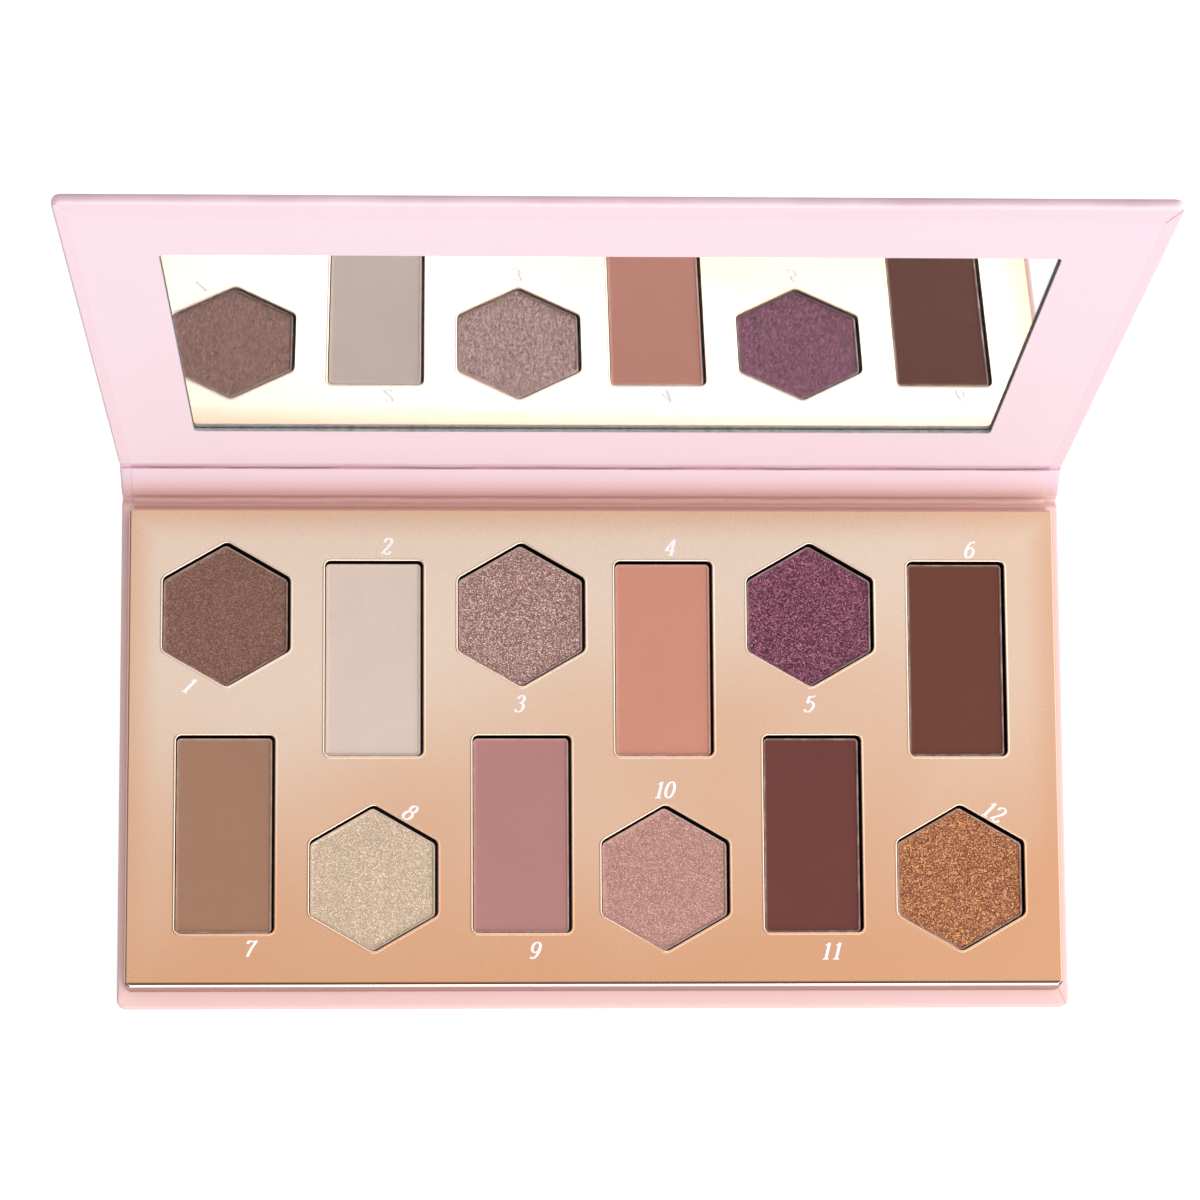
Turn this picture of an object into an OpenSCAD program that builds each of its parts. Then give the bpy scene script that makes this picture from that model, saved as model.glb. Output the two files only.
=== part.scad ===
// Twelve-shade pressed-powder palette in a folding, paper-wrapped board case.
//
// Frame: millimetres, +Z up, +X to the right, +Y from the front edge to the fold.
// The origin is the centre of the case base's underside. Every panel is drawn where
// it lies with the case shut and is then swung to its resting angle about its fold.

/* [Case] */
// Width of the wrapped case
case_w = 160; // [140:1:200]
// Depth of the wrapped base panel, from its front edge to its rear end
case_d = 85.6; // [84:0.2:100]
// Radius of the panel corners seen from above
case_corner_r = 1.6; // [0.8:0.1:4]
// Softening radius where the wrap turns round a panel's edges
case_edge_r = 0.6; // [0.3:0.05:0.7]
// Grey board in the base
base_board_t = 1.6; // [1.4:0.1:3]
// Thickness of the covering paper
wrap_t = 0.15; // [0.1:0.01:0.25]
// Width of the covering paper turned in over each panel's inner face
turn_in_w = 11; // [6:0.5:12]
// Gap between a turn-in and the face of the board that stands proud beside it
turn_in_gap = 0.1; // [0.05:0.01:0.3]
// Thickness of the lining paper
liner_t = 0.1; // [0.08:0.01:0.2]
// Inset of the lining paper from the side edges
liner_side_inset = 2; // [1:0.1:4]
// Inset of the lining paper from the free edge of the lid and of the base
liner_free_inset = 4; // [2:0.1:6]

/* [Folds] */
// Bare covering paper from each fold line to the nearest board
fold_margin = 1.6; // [1.5:0.1:3]
// Grey board in the spine panel
spine_board_t = 1; // [0.8:0.1:1.1]
// Paper left clear at each side of a fold line
crease_gap = 0.1; // [0.08:0.01:0.2]
// How far the spine panel leans back from upright
spine_open = 46; // [0:1:90]
// How far the lid is opened on the spine panel
lid_open = 55.6; // [0:0.2:90]

/* [Lid] */
// Grey board behind the mirror
lid_board_t = 0.65; // [0.6:0.05:1.5]
// Thickness of the mirror sheet and of the board ring round it
mirror_t = 0.45; // [0.4:0.05:1]
// Grey board of the window frame in front of the mirror
frame_board_t = 0.35; // [0.3:0.05:0.8]
// Width of the window frame at the lid's two sides
window_side_border = 14.3; // [12:0.1:30]
// Width of the window frame at the lid's free edge
window_free_border = 14.35; // [13:0.05:30]
// Distance from the lid's fold line to the near edge of the window
window_from_fold = 13.95; // [13:0.05:18]
// Sideways shift of the window from the middle of the lid
window_shift = -0.5; // [-2:0.1:2]
// Corner radius of the window
window_r = 0.8; // [0.4:0.1:4]
// Overlap of the window frame on the mirror
mirror_overlap = 2.5; // [1:0.1:2.8]
// Running gap between the mirror and the board ring round it
mirror_gap = 0.3; // [0.2:0.05:0.6]
// Double-sided tape behind the mirror
mirror_tape_t = 0.05; // [0.03:0.01:0.1]

/* [Tray] */
// Bare margin of the base beside the tray
tray_side_margin = 1.8; // [0.8:0.1:6]
// Bare margin of the base in front of the tray
tray_front_margin = 3.5; // [0.8:0.1:8]
// Height of the tray
tray_h = 4; // [3.8:0.1:8]
// Distance of the tray's rear wall from the rear end of the base panel
tray_rear_gap = 1.4; // [1:0.1:3]
// Corner radius of the tray seen from above
tray_corner_r = 1; // [0.6:0.1:3]
// Rounding of the tray's upper edge
tray_edge_r = 0.35; // [0.2:0.05:0.6]
// Thickness of the tray's outer wall
tray_wall = 1; // [0.8:0.1:1.5]
// Thickness of the tray's deck
tray_deck_t = 0.9; // [0.7:0.05:1.2]
// Thickness of the wall and floor round each well
well_wall = 0.6; // [0.4:0.05:0.7]
// Bevel round the mouth of each well
well_bevel = 0.22; // [0.1:0.02:0.3]
// Double-sided tape under the tray
tray_tape_t = 0.1; // [0.05:0.01:0.3]
// Clearance between the tray's deck and the shut lid
shut_gap = 0.3; // [0.2:0.05:1]

/* [Wells] */
// Distance of the outer columns' middles from the tray's side walls
outer_column_inset = 16.6; // [14:0.1:18]
// How much closer together the two middle columns stand than the others
middle_narrowing = 0.8; // [0:0.1:1.5]
// Sideways shift of all the wells from the middle of the tray
well_shift = -0.2; // [-0.5:0.1:0.5]
// Distance of the hexagonal wells' middles from the tray's front and rear walls
hex_inset = 18.05; // [16:0.05:19]
// Width of a hexagonal well across its flats
hex_well_af = 21.5; // [18:0.1:22]
// Corner radius of a hexagonal well
hex_corner_r = 1.3; // [0.8:0.1:3]
// Width of a rectangular well
rect_well_w = 16.6; // [13:0.1:17]
// Distance of the rectangular wells' outer ends from the tray's front and rear walls
rect_end_inset = 8.85; // [7:0.05:12]
// How far the rectangular wells' inner ends pass the tray's middle line
rect_past_middle = 1.8; // [0:0.1:2.4]
// Corner radius of a rectangular well
rect_corner_r = 1; // [0.6:0.1:3]

/* [Pans and powder] */
// Gap between a pan and its well, all round
pan_gap = 0.35; // [0.2:0.05:0.6]
// How far the pans are set to the left in their wells
pan_set_left = 0.17; // [0:0.01:0.2]
// How far the pans are set to the front in their wells
pan_set_front = 0.2; // [0:0.01:0.2]
// Wall thickness of a pressed aluminium pan
pan_wall = 0.3; // [0.2:0.02:0.4]
// Depth of a pan's rim below the tray's deck
pan_recess = 0.5; // [0.2:0.05:0.8]
// Glue between a pan and the floor of its well
pan_glue_t = 0.1; // [0.05:0.01:0.2]
// Radius of a glue dot
glue_dot_r = 3; // [1:0.1:5]
// Depth of the powder's face below the pan's rim
powder_recess = 0.12; // [0.05:0.01:0.3]
// Bevel round the powder's face
powder_bevel = 0.5; // [0.2:0.05:0.8]

/* [Magnets] */
// Radius of the closing magnets
magnet_r = 3; // [2:0.1:3.2]
// Thickness of the magnets under the tray's deck
base_magnet_t = 1.5; // [1:0.1:1.8]
// Thickness of the magnets in the lid
lid_magnet_t = 0.8; // [0.6:0.05:0.9]
// Distance of the magnets from the tray's front wall
magnet_inset = 4.6; // [4.4:0.1:5]
// Running gap round a magnet in its socket
magnet_gap = 0.1; // [0.05:0.01:0.2]
// Wall of the socket that holds a magnet under the deck
socket_wall = 0.6; // [0.4:0.05:0.8]

/* [Hidden] */

// Facets of a full circle; the exact model keeps true arcs
ROUND = 48;
// Chords in each rounded corner of a well, a pan or a cake of powder
CHORDS = 6;
// Overshoot that keeps a cut clear of the face it opens
CUT = 1;

// Levels in the base, from the underside up
base_board_z = wrap_t;
base_turn_in_z = base_board_z + base_board_t;
base_liner_z = base_turn_in_z + wrap_t;
tray_tape_z = base_liner_z + liner_t;
tray_z = tray_tape_z + tray_tape_t;
deck_z = tray_z + tray_h;
deck_under_z = deck_z - tray_deck_t;
well_floor_z = tray_z + well_wall;
pan_z = well_floor_z + pan_glue_t;
rim_z = deck_z - pan_recess;
pan_floor_z = pan_z + pan_wall;
powder_top_z = rim_z - powder_recess;

// Levels in the shut lid, from its inner face up
lid_liner_z = deck_z + shut_gap;
lid_turn_in_z = lid_liner_z + liner_t;
frame_board_z = lid_turn_in_z + wrap_t;
mirror_z = frame_board_z + frame_board_t;
lid_board_z = mirror_z + mirror_t;
lid_skin_z = lid_board_z + lid_board_t;
shut_h = lid_skin_z + wrap_t;
lid_t = shut_h - lid_turn_in_z;

// Fold lines run along X through the middle of the covering paper
rear_y = case_d / 2;
front_y = -case_d / 2;
fold_y = rear_y + fold_margin;
low_fold = [0, fold_y, wrap_t / 2];
high_fold = [0, fold_y, shut_h - wrap_t / 2];
spine_inner_y = fold_y - wrap_t / 2 - spine_board_t;
spine_from_z = low_fold.z + fold_margin;
spine_to_z = high_fold.z - fold_margin;

// Plan of the tray: what the base panel leaves inside its bare margins
tray_w = case_w - 2 * tray_side_margin;
tray_d = case_d - tray_front_margin - tray_rear_gap;
tray_front_y = front_y + tray_front_margin;
tray_y = tray_front_y + tray_d / 2;

// Three columns of wells at each side of the middle, and a magnet between the outer two
column_pitch = (tray_w / 2 - outer_column_inset + middle_narrowing / 2) / 2.5;
column_x = [for (i = [-2.5:1:2.5]) well_shift + i * column_pitch - sign(i) * middle_narrowing / 2];
magnet_x = tray_w / 2 - outer_column_inset - column_pitch / 2;
magnet_y = tray_front_y + magnet_inset;
hex_row = tray_d / 2 - hex_inset;
rect_well_l = tray_d / 2 - rect_end_inset + rect_past_middle;
rect_row = rect_well_l / 2 - rect_past_middle;
hex_at = [for (i = [0:5]) [column_x[i], tray_y + (i % 2 == 0 ? hex_row : -hex_row)]];
rect_at = [for (i = [0:5]) [column_x[i], tray_y + (i % 2 == 0 ? -rect_row : rect_row)]];
hex_pan_af = hex_well_af - 2 * pan_gap;
rect_pan_w = rect_well_w - 2 * pan_gap;
rect_pan_l = rect_well_l - 2 * pan_gap;
hex_pan_r = hex_corner_r - pan_gap;
rect_pan_r = rect_corner_r - pan_gap;

// Plan of the mirror window with the lid shut: what the frame's borders leave
window_w = case_w - 2 * window_side_border;
window_h = fold_y - window_from_fold - front_y - window_free_border;
window_y = fold_y - window_from_fold - window_h / 2;

// Colours
PINK = [0.97, 0.86, 0.89];
LINING = [0.98, 0.89, 0.92];
GREY_BOARD = [0.60, 0.58, 0.55];
ROSE_GOLD = [0.88, 0.72, 0.60];
ALUMINIUM = [0.85, 0.84, 0.83];
MIRROR = [0.90, 0.92, 0.93];
STEEL = [0.62, 0.62, 0.64];
GLUE = [0.93, 0.90, 0.78];
HEX_SHADES = [[0.48, 0.35, 0.31], [0.80, 0.72, 0.59], [0.61, 0.50, 0.46],
              [0.71, 0.55, 0.51], [0.52, 0.31, 0.37], [0.66, 0.44, 0.29]];
RECT_SHADES = [[0.64, 0.48, 0.40], [0.85, 0.78, 0.73], [0.70, 0.50, 0.49],
               [0.81, 0.56, 0.49], [0.46, 0.26, 0.24], [0.44, 0.27, 0.23]];

// Rectangle with rounded corners, centred
module rounded_rect(w, d, r) {
    square([w - 2 * r, d], center = true);
    square([w, d - 2 * r], center = true);
    for (x = [-1, 1], y = [-1, 1])
        translate([x * (w / 2 - r), y * (d / 2 - r)]) circle(r, $fn = ROUND);
}

// Points of an arc of the given radius about a centre, in equal chords
function arc_points(centre, r, from, to) =
    [for (i = [0:CHORDS]) let (a = from + (to - from) * i / CHORDS) centre + r * [cos(a), sin(a)]];

// Distance from a hexagon's middle to the centres of its rounded corners
function hex_corner(af, r) = (af / 2 - r) / cos(30);

// Outline of a hexagon with rounded corners, a corner at +Y
function hex_outline(af, r) =
    [for (a = [30:60:330])
        each arc_points(hex_corner(af, r) * [cos(a), sin(a)], r, a - 30, a + 30)];

// Outline of a rectangle with rounded corners
function rect_outline(w, l, r) =
    [for (a = [0:90:270])
        let (sx = a == 0 || a == 270 ? 1 : -1, sy = a < 180 ? 1 : -1)
        each arc_points([sx * (w / 2 - r), sy * (l / 2 - r)], r, a, a + 90)];

// Regular hexagon with rounded corners, a corner at +Y, centred
module hex_shape(af, r) {
    polygon(hex_outline(af, r));
}

// Rectangle with rounded corners of a well, a pan or a cake of powder, centred
module rect_shape(w, l, r) {
    polygon(rect_outline(w, l, r));
}

// Panel with rounded corners and softened edges, standing on z = 0 and centred on x and y.
// The three outlines are crossed, so every edge is a true arc.
module soft_panel(w, d, t, corner_r, edge_r) {
    intersection() {
        linear_extrude(t) rounded_rect(w, d, corner_r);
        translate([0, d / 2 + CUT, t / 2]) rotate([90, 0, 0])
            linear_extrude(d + 2 * CUT) rounded_rect(w, t, edge_r);
        translate([-w / 2 - CUT, 0, t / 2]) rotate([90, 0, 90])
            linear_extrude(w + 2 * CUT) rounded_rect(d, t, edge_r);
    }
}

// Swings a piece drawn shut about the spine's fold line
module on_spine() {
    translate(low_fold) rotate([-spine_open, 0, 0]) translate(-low_fold) children();
}

// Swings a piece drawn shut about the lid's fold line, carried by the spine
module on_lid() {
    on_spine()
        translate(high_fold) rotate([-lid_open, 0, 0]) translate(-high_fold) children();
}

// A box given by its low and high corners
module span(low, high) {
    translate(low) cube(high - low);
}

// ---- base ----

// Board core of a panel that ends square at its fold side. The turn-ins are pressed into
// its inner face, which stands proud between them, level with the paper, under the lining.
// A core that is cut from something else runs past that end.
module panel_core(t, past = 0) {
    inner_w = case_w - 2 * wrap_t;
    inner_d = case_d - wrap_t;
    proud_from = turn_in_w + turn_in_gap;
    span([-case_w / 2 + proud_from, front_y + proud_from, t / 2],
         [case_w / 2 - proud_from, rear_y + past, t + wrap_t]);
    intersection() {
        translate([0, wrap_t / 2 + case_corner_r, 0])
            soft_panel(inner_w, inner_d + 2 * case_corner_r, t,
                       case_corner_r - wrap_t, case_edge_r - wrap_t);
        span([-case_w / 2, front_y, 0], [case_w / 2, rear_y + past, t]);
    }
}

// Covering paper of a panel: skin, three turned edges, turn-ins and half of the fold strip
module panel_wrap(t) {
    half_w = case_w / 2;
    full_t = t + 2 * wrap_t;
    difference() {
        intersection() {
            translate([0, case_corner_r, 0])
                soft_panel(case_w, case_d + 2 * case_corner_r, full_t, case_corner_r, case_edge_r);
            span([-half_w, front_y, 0], [half_w, rear_y, full_t]);
        }
        translate([0, 0, wrap_t]) panel_core(t, CUT);
        span([-half_w + turn_in_w, front_y + turn_in_w, wrap_t + t / 2],
             [half_w - turn_in_w, rear_y + CUT, full_t + CUT]);
    }
    span([-half_w, rear_y, 0], [half_w, fold_y - crease_gap, wrap_t]);
}

module base_board() {
    color(GREY_BOARD) translate([0, 0, base_board_z]) panel_core(base_board_t);
}

module base_wrap() {
    color(PINK) panel_wrap(base_board_t);
}

module base_liner() {
    color(LINING)
        span([-case_w / 2 + liner_side_inset, front_y + liner_free_inset, base_liner_z],
             [case_w / 2 - liner_side_inset, rear_y, tray_tape_z]);
}

// Four strips of tape under the tray's walls
module tray_tape() {
    strip = 2 * tray_wall;
    half_w = tray_w / 2;
    half_d = tray_d / 2;
    color(GLUE) translate([0, tray_y, 0]) {
        for (side = [-1, 1]) {
            translate([0, side * (half_d - tray_wall - strip / 2), tray_tape_z + tray_tape_t / 2])
                cube([tray_w - 2 * tray_wall, strip, tray_tape_t], center = true);
            translate([side * (half_w - tray_wall - strip / 2), 0, tray_tape_z + tray_tape_t / 2])
                cube([strip, tray_d - 8 * tray_wall, tray_tape_t], center = true);
        }
    }
}

// ---- tray ----

// A prism on every hexagonal well
module at_hex_wells() {
    for (p = hex_at) translate([p.x, p.y, 0]) children();
}

// A prism on every rectangular well
module at_rect_wells() {
    for (p = rect_at) translate([p.x, p.y, 0]) children();
}

// A piece on both magnets of the case
module at_magnets() {
    for (side = [-1, 1]) translate([side * magnet_x, magnet_y, 0]) children();
}

// Tapered mouth of a well: its outline grows by one bevel over the bevel's height
module well_mouth(w, l) {
    translate([0, 0, deck_z - well_bevel])
        linear_extrude(2 * well_bevel, scale = [1 + 4 * well_bevel / w, 1 + 4 * well_bevel / l])
            children();
}

// Plastic tray: deck, outer wall, twelve wells with floors and two magnet sockets,
// open underneath between the wells
module tray_shell() {
    pocket_h = deck_under_z - tray_z;
    wall_r = max(tray_corner_r - tray_wall, 0.2);
    color(ROSE_GOLD) difference() {
        intersection() {
            translate([0, tray_y, tray_z - tray_h])
                soft_panel(tray_w, tray_d, 2 * tray_h, tray_corner_r, tray_edge_r);
            translate([0, tray_y, tray_z + tray_h / 2])
                cube([tray_w + CUT, tray_d + CUT, tray_h], center = true);
        }
        difference() {
            translate([0, tray_y, tray_z - CUT])
                linear_extrude(pocket_h + CUT)
                    rounded_rect(tray_w - 2 * tray_wall, tray_d - 2 * tray_wall, wall_r);
            translate([0, 0, tray_z]) {
                at_hex_wells() linear_extrude(tray_h)
                    hex_shape(hex_well_af + 2 * well_wall, hex_corner_r + well_wall);
                at_rect_wells() linear_extrude(tray_h)
                    rect_shape(rect_well_w + 2 * well_wall, rect_well_l + 2 * well_wall,
                                 rect_corner_r + well_wall);
            }
            at_magnets() translate([0, 0, deck_under_z - base_magnet_t])
                cylinder(r = magnet_r + magnet_gap + socket_wall, h = tray_h, $fn = ROUND);
        }
        at_magnets() translate([0, 0, tray_z - CUT])
            cylinder(r = magnet_r + magnet_gap, h = pocket_h + CUT, $fn = ROUND);
        translate([0, 0, well_floor_z]) {
            at_hex_wells() linear_extrude(tray_h) hex_shape(hex_well_af, hex_corner_r);
            at_rect_wells() linear_extrude(tray_h)
                rect_shape(rect_well_w, rect_well_l, rect_corner_r);
        }
        at_hex_wells() well_mouth(hex_well_af, hex_well_af)
            hex_shape(hex_well_af, hex_corner_r);
        at_rect_wells() well_mouth(rect_well_w, rect_well_l)
            rect_shape(rect_well_w, rect_well_l, rect_corner_r);
    }
}

module base_magnets() {
    color(STEEL) at_magnets() translate([0, 0, deck_under_z - base_magnet_t])
        cylinder(r = magnet_r, h = base_magnet_t, $fn = ROUND);
}

// One dot of glue under every pan
module pan_glue() {
    color(GLUE) translate([-pan_set_left, -pan_set_front, well_floor_z]) {
        at_hex_wells() cylinder(r = glue_dot_r, h = pan_glue_t, $fn = ROUND);
        at_rect_wells() cylinder(r = glue_dot_r, h = pan_glue_t, $fn = ROUND);
    }
}

// ---- pans and powder ----

// Puts a pan or its powder in the well with the given middle
module in_well(at) {
    translate([at.x - pan_set_left, at.y - pan_set_front, 0]) children();
}

module hex_pan(i) {
    color(ALUMINIUM) in_well(hex_at[i]) difference() {
        translate([0, 0, pan_z]) linear_extrude(rim_z - pan_z) hex_shape(hex_pan_af, hex_pan_r);
        translate([0, 0, pan_floor_z]) linear_extrude(tray_h)
            hex_shape(hex_pan_af - 2 * pan_wall, hex_pan_r - pan_wall);
    }
}

module rect_pan(i) {
    color(ALUMINIUM) in_well(rect_at[i]) difference() {
        translate([0, 0, pan_z]) linear_extrude(rim_z - pan_z)
            rect_shape(rect_pan_w, rect_pan_l, rect_pan_r);
        translate([0, 0, pan_floor_z]) linear_extrude(tray_h)
            rect_shape(rect_pan_w - 2 * pan_wall, rect_pan_l - 2 * pan_wall,
                         rect_pan_r - pan_wall);
    }
}

// Pressed powder: fills its pan and is bevelled round its face
module powder_cake(w, l) {
    bevel_z = powder_top_z - powder_bevel / 2;
    translate([0, 0, pan_floor_z]) linear_extrude(bevel_z - pan_floor_z) children();
    translate([0, 0, bevel_z])
        linear_extrude(powder_top_z - bevel_z,
                       scale = [1 - 2 * powder_bevel / w, 1 - 2 * powder_bevel / l])
            children();
}

module hex_powder(i) {
    af = hex_pan_af - 2 * pan_wall;
    color(HEX_SHADES[i]) in_well(hex_at[i])
        powder_cake(af, af) hex_shape(af, hex_pan_r - pan_wall);
}

module rect_powder(i) {
    w = rect_pan_w - 2 * pan_wall;
    l = rect_pan_l - 2 * pan_wall;
    color(RECT_SHADES[i]) in_well(rect_at[i])
        powder_cake(w, l) rect_shape(w, l, rect_pan_r - pan_wall);
}

// ---- spine ----

module spine_board() {
    half_w = case_w / 2;
    proud_w = half_w - turn_in_w - turn_in_gap;
    color(GREY_BOARD) on_spine() {
        span([-half_w + wrap_t, spine_inner_y, spine_from_z],
             [half_w - wrap_t, spine_inner_y + spine_board_t, spine_to_z]);
        span([-proud_w, spine_inner_y - wrap_t, spine_from_z],
             [proud_w, spine_inner_y + spine_board_t / 2, spine_to_z]);
    }
}

// Covering paper of the spine: skin from fold to fold, turned round the board's two ends
module spine_wrap() {
    half_w = case_w / 2;
    skin_y = fold_y - wrap_t / 2;
    color(PINK) on_spine() {
        span([-half_w, skin_y, low_fold.z + crease_gap],
             [half_w, skin_y + wrap_t, high_fold.z - crease_gap]);
        for (side = [-1, 1]) {
            translate([side * (half_w - wrap_t / 2), skin_y - spine_board_t / 2,
                       (spine_from_z + spine_to_z) / 2])
                cube([wrap_t, spine_board_t, spine_to_z - spine_from_z], center = true);
            translate([side * (half_w - turn_in_w / 2), spine_inner_y - wrap_t / 2,
                       (spine_from_z + spine_to_z) / 2])
                cube([turn_in_w, wrap_t, spine_to_z - spine_from_z], center = true);
        }
    }
}

module spine_liner() {
    half_w = case_w / 2 - liner_side_inset;
    color(LINING) on_spine()
        span([-half_w, spine_inner_y - wrap_t - liner_t, spine_from_z],
             [half_w, spine_inner_y - wrap_t, spine_to_z]);
}

// ---- lid ----

// Core of the lid between two levels, cut from one soft-edged panel turned over
module lid_core_layer(from_z, to_z) {
    core_t = lid_skin_z - frame_board_z;
    intersection() {
        translate([0, 0, lid_skin_z]) mirror([0, 0, 1]) panel_core(core_t);
        span([-case_w / 2, front_y, from_z], [case_w / 2, rear_y, to_z]);
    }
}

// Opening through the lid's layers with the given growth round the window
module window_cut(grow) {
    translate([window_shift, window_y, lid_liner_z - CUT])
        linear_extrude(lid_t + 2 * CUT)
            rounded_rect(window_w + 2 * grow, window_h + 2 * grow, window_r + grow / 2);
}

module lid_board() {
    color(GREY_BOARD) on_lid() difference() {
        lid_core_layer(lid_board_z, lid_skin_z);
        at_magnets() translate([0, 0, mirror_z - CUT])
            cylinder(r = magnet_r + magnet_gap, h = lid_magnet_t + CUT, $fn = ROUND);
    }
}

module lid_spacer_board() {
    color(GREY_BOARD) on_lid() difference() {
        lid_core_layer(mirror_z, lid_board_z);
        window_cut(mirror_overlap + mirror_gap);
        at_magnets() translate([0, 0, mirror_z - CUT])
            cylinder(r = magnet_r + magnet_gap, h = mirror_t + 2 * CUT, $fn = ROUND);
    }
}

module lid_frame_board() {
    color(GREY_BOARD) on_lid() difference() {
        lid_core_layer(lid_turn_in_z, mirror_z);
        window_cut(0);
    }
}

// The covering paper's turn-ins lie on the inner face, so the panel is drawn turned over
module lid_wrap() {
    color(PINK) on_lid()
        translate([0, 0, shut_h]) mirror([0, 0, 1]) panel_wrap(lid_skin_z - frame_board_z);
}

module lid_liner() {
    color(LINING) on_lid() difference() {
        span([-case_w / 2 + liner_side_inset, front_y + liner_free_inset, lid_liner_z],
             [case_w / 2 - liner_side_inset, rear_y, lid_turn_in_z]);
        window_cut(0);
    }
}

module mirror_sheet() {
    color(MIRROR) on_lid() intersection() {
        window_cut(mirror_overlap);
        span([-case_w / 2, front_y, mirror_z], [case_w / 2, rear_y, lid_board_z - mirror_tape_t]);
    }
}

// Three strips of tape that hold the mirror to the board
module mirror_tape() {
    strip = window_h / 8;
    color(GLUE) on_lid() for (i = [-1:1])
        translate([window_shift, window_y + i * window_h / 3, lid_board_z - mirror_tape_t / 2])
            cube([window_w, strip, mirror_tape_t], center = true);
}

module lid_magnets() {
    color(STEEL) on_lid() at_magnets() translate([0, 0, mirror_z])
        cylinder(r = magnet_r, h = lid_magnet_t, $fn = ROUND);
}

base_board();
base_wrap();
base_liner();
tray_tape();
tray_shell();
base_magnets();
pan_glue();
hex_pan(0);  // hex_pan_1
hex_pan(1);  // hex_pan_2
hex_pan(2);  // hex_pan_3
hex_pan(3);  // hex_pan_4
hex_pan(4);  // hex_pan_5
hex_pan(5);  // hex_pan_6
rect_pan(0);  // rect_pan_1
rect_pan(1);  // rect_pan_2
rect_pan(2);  // rect_pan_3
rect_pan(3);  // rect_pan_4
rect_pan(4);  // rect_pan_5
rect_pan(5);  // rect_pan_6
hex_powder(0);  // hex_powder_1
hex_powder(1);  // hex_powder_2
hex_powder(2);  // hex_powder_3
hex_powder(3);  // hex_powder_4
hex_powder(4);  // hex_powder_5
hex_powder(5);  // hex_powder_6
rect_powder(0);  // rect_powder_1
rect_powder(1);  // rect_powder_2
rect_powder(2);  // rect_powder_3
rect_powder(3);  // rect_powder_4
rect_powder(4);  // rect_powder_5
rect_powder(5);  // rect_powder_6
spine_board();
spine_wrap();
spine_liner();
lid_board();
lid_spacer_board();
lid_frame_board();
lid_wrap();
lid_liner();
mirror_sheet();
mirror_tape();
lid_magnets();
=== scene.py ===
"""Dresses a folding, paper-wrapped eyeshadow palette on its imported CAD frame.

Lengths in this file are millimetres, turned to metres where a mesh or a pattern is made.
Panels are drawn as they lie in the shut case and are then swung open about their folds.
"""

from __future__ import annotations

import logging
import math
from dataclasses import dataclass, field
from enum import Enum

import bmesh
import bpy
import numpy as np
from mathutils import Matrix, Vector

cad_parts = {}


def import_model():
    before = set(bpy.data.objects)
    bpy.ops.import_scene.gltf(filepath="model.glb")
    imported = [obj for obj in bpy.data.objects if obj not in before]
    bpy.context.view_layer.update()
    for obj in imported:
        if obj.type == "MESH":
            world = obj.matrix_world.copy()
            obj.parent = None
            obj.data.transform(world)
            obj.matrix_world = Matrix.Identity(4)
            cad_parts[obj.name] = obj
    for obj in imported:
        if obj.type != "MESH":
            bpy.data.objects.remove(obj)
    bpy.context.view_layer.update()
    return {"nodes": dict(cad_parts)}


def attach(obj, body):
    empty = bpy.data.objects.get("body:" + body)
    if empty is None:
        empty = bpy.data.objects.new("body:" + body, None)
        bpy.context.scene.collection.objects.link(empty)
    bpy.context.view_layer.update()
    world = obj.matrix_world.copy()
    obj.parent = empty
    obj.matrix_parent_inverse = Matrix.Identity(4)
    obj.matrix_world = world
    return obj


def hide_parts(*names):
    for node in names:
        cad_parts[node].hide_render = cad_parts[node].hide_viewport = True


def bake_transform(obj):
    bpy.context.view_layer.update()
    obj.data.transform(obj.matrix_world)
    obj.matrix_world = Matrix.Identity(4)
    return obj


LOG = logging.getLogger("palette")
MM = 0.001
DEPTH = "fold_depth"
WHITE = (1.0, 1.0, 1.0, 1.0)

Point2 = tuple[float, float]
Point3 = tuple[float, float, float]
Node = bpy.types.Node
Socket = bpy.types.NodeSocket
Inputs = dict[str, object]


# ---- colour, nodes and meshes ----


def linear(code: str) -> tuple[float, float, float, float]:
    """Turns an sRGB hex value to linear colour.

    Args:
        code: a value such as "#F6D3DC".

    Returns:
        Red, green, blue and alpha, from 0 to 1.
    """
    srgb = np.array([int(code[i : i + 2], 16) for i in (1, 3, 5)]) / 255
    rgb = np.where(srgb <= 0.04045, srgb / 12.92, ((srgb + 0.055) / 1.055) ** 2.4)
    return (*rgb.tolist(), 1.0)


def unit(ways: np.ndarray) -> np.ndarray:
    """Vectors made one long, along the last axis."""
    return ways / np.linalg.norm(ways, axis=-1, keepdims=True)


def circle(angle: np.ndarray) -> np.ndarray:
    """Points of the unit circle at some angles in radians."""
    return np.stack([np.cos(angle), np.sin(angle)], axis=-1)


def wavy(x: np.ndarray, waves: tuple[Point3, ...]) -> np.ndarray:
    """Sum of waves, each given by its size, its radians per millimetre and its phase."""
    return sum(size * np.sin(x * pitch + phase) for size, pitch, phase in waves)


def scale(size: float) -> float:
    """Scale of a pattern whose features are this many millimetres long."""
    return 1 / MM / size


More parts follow.
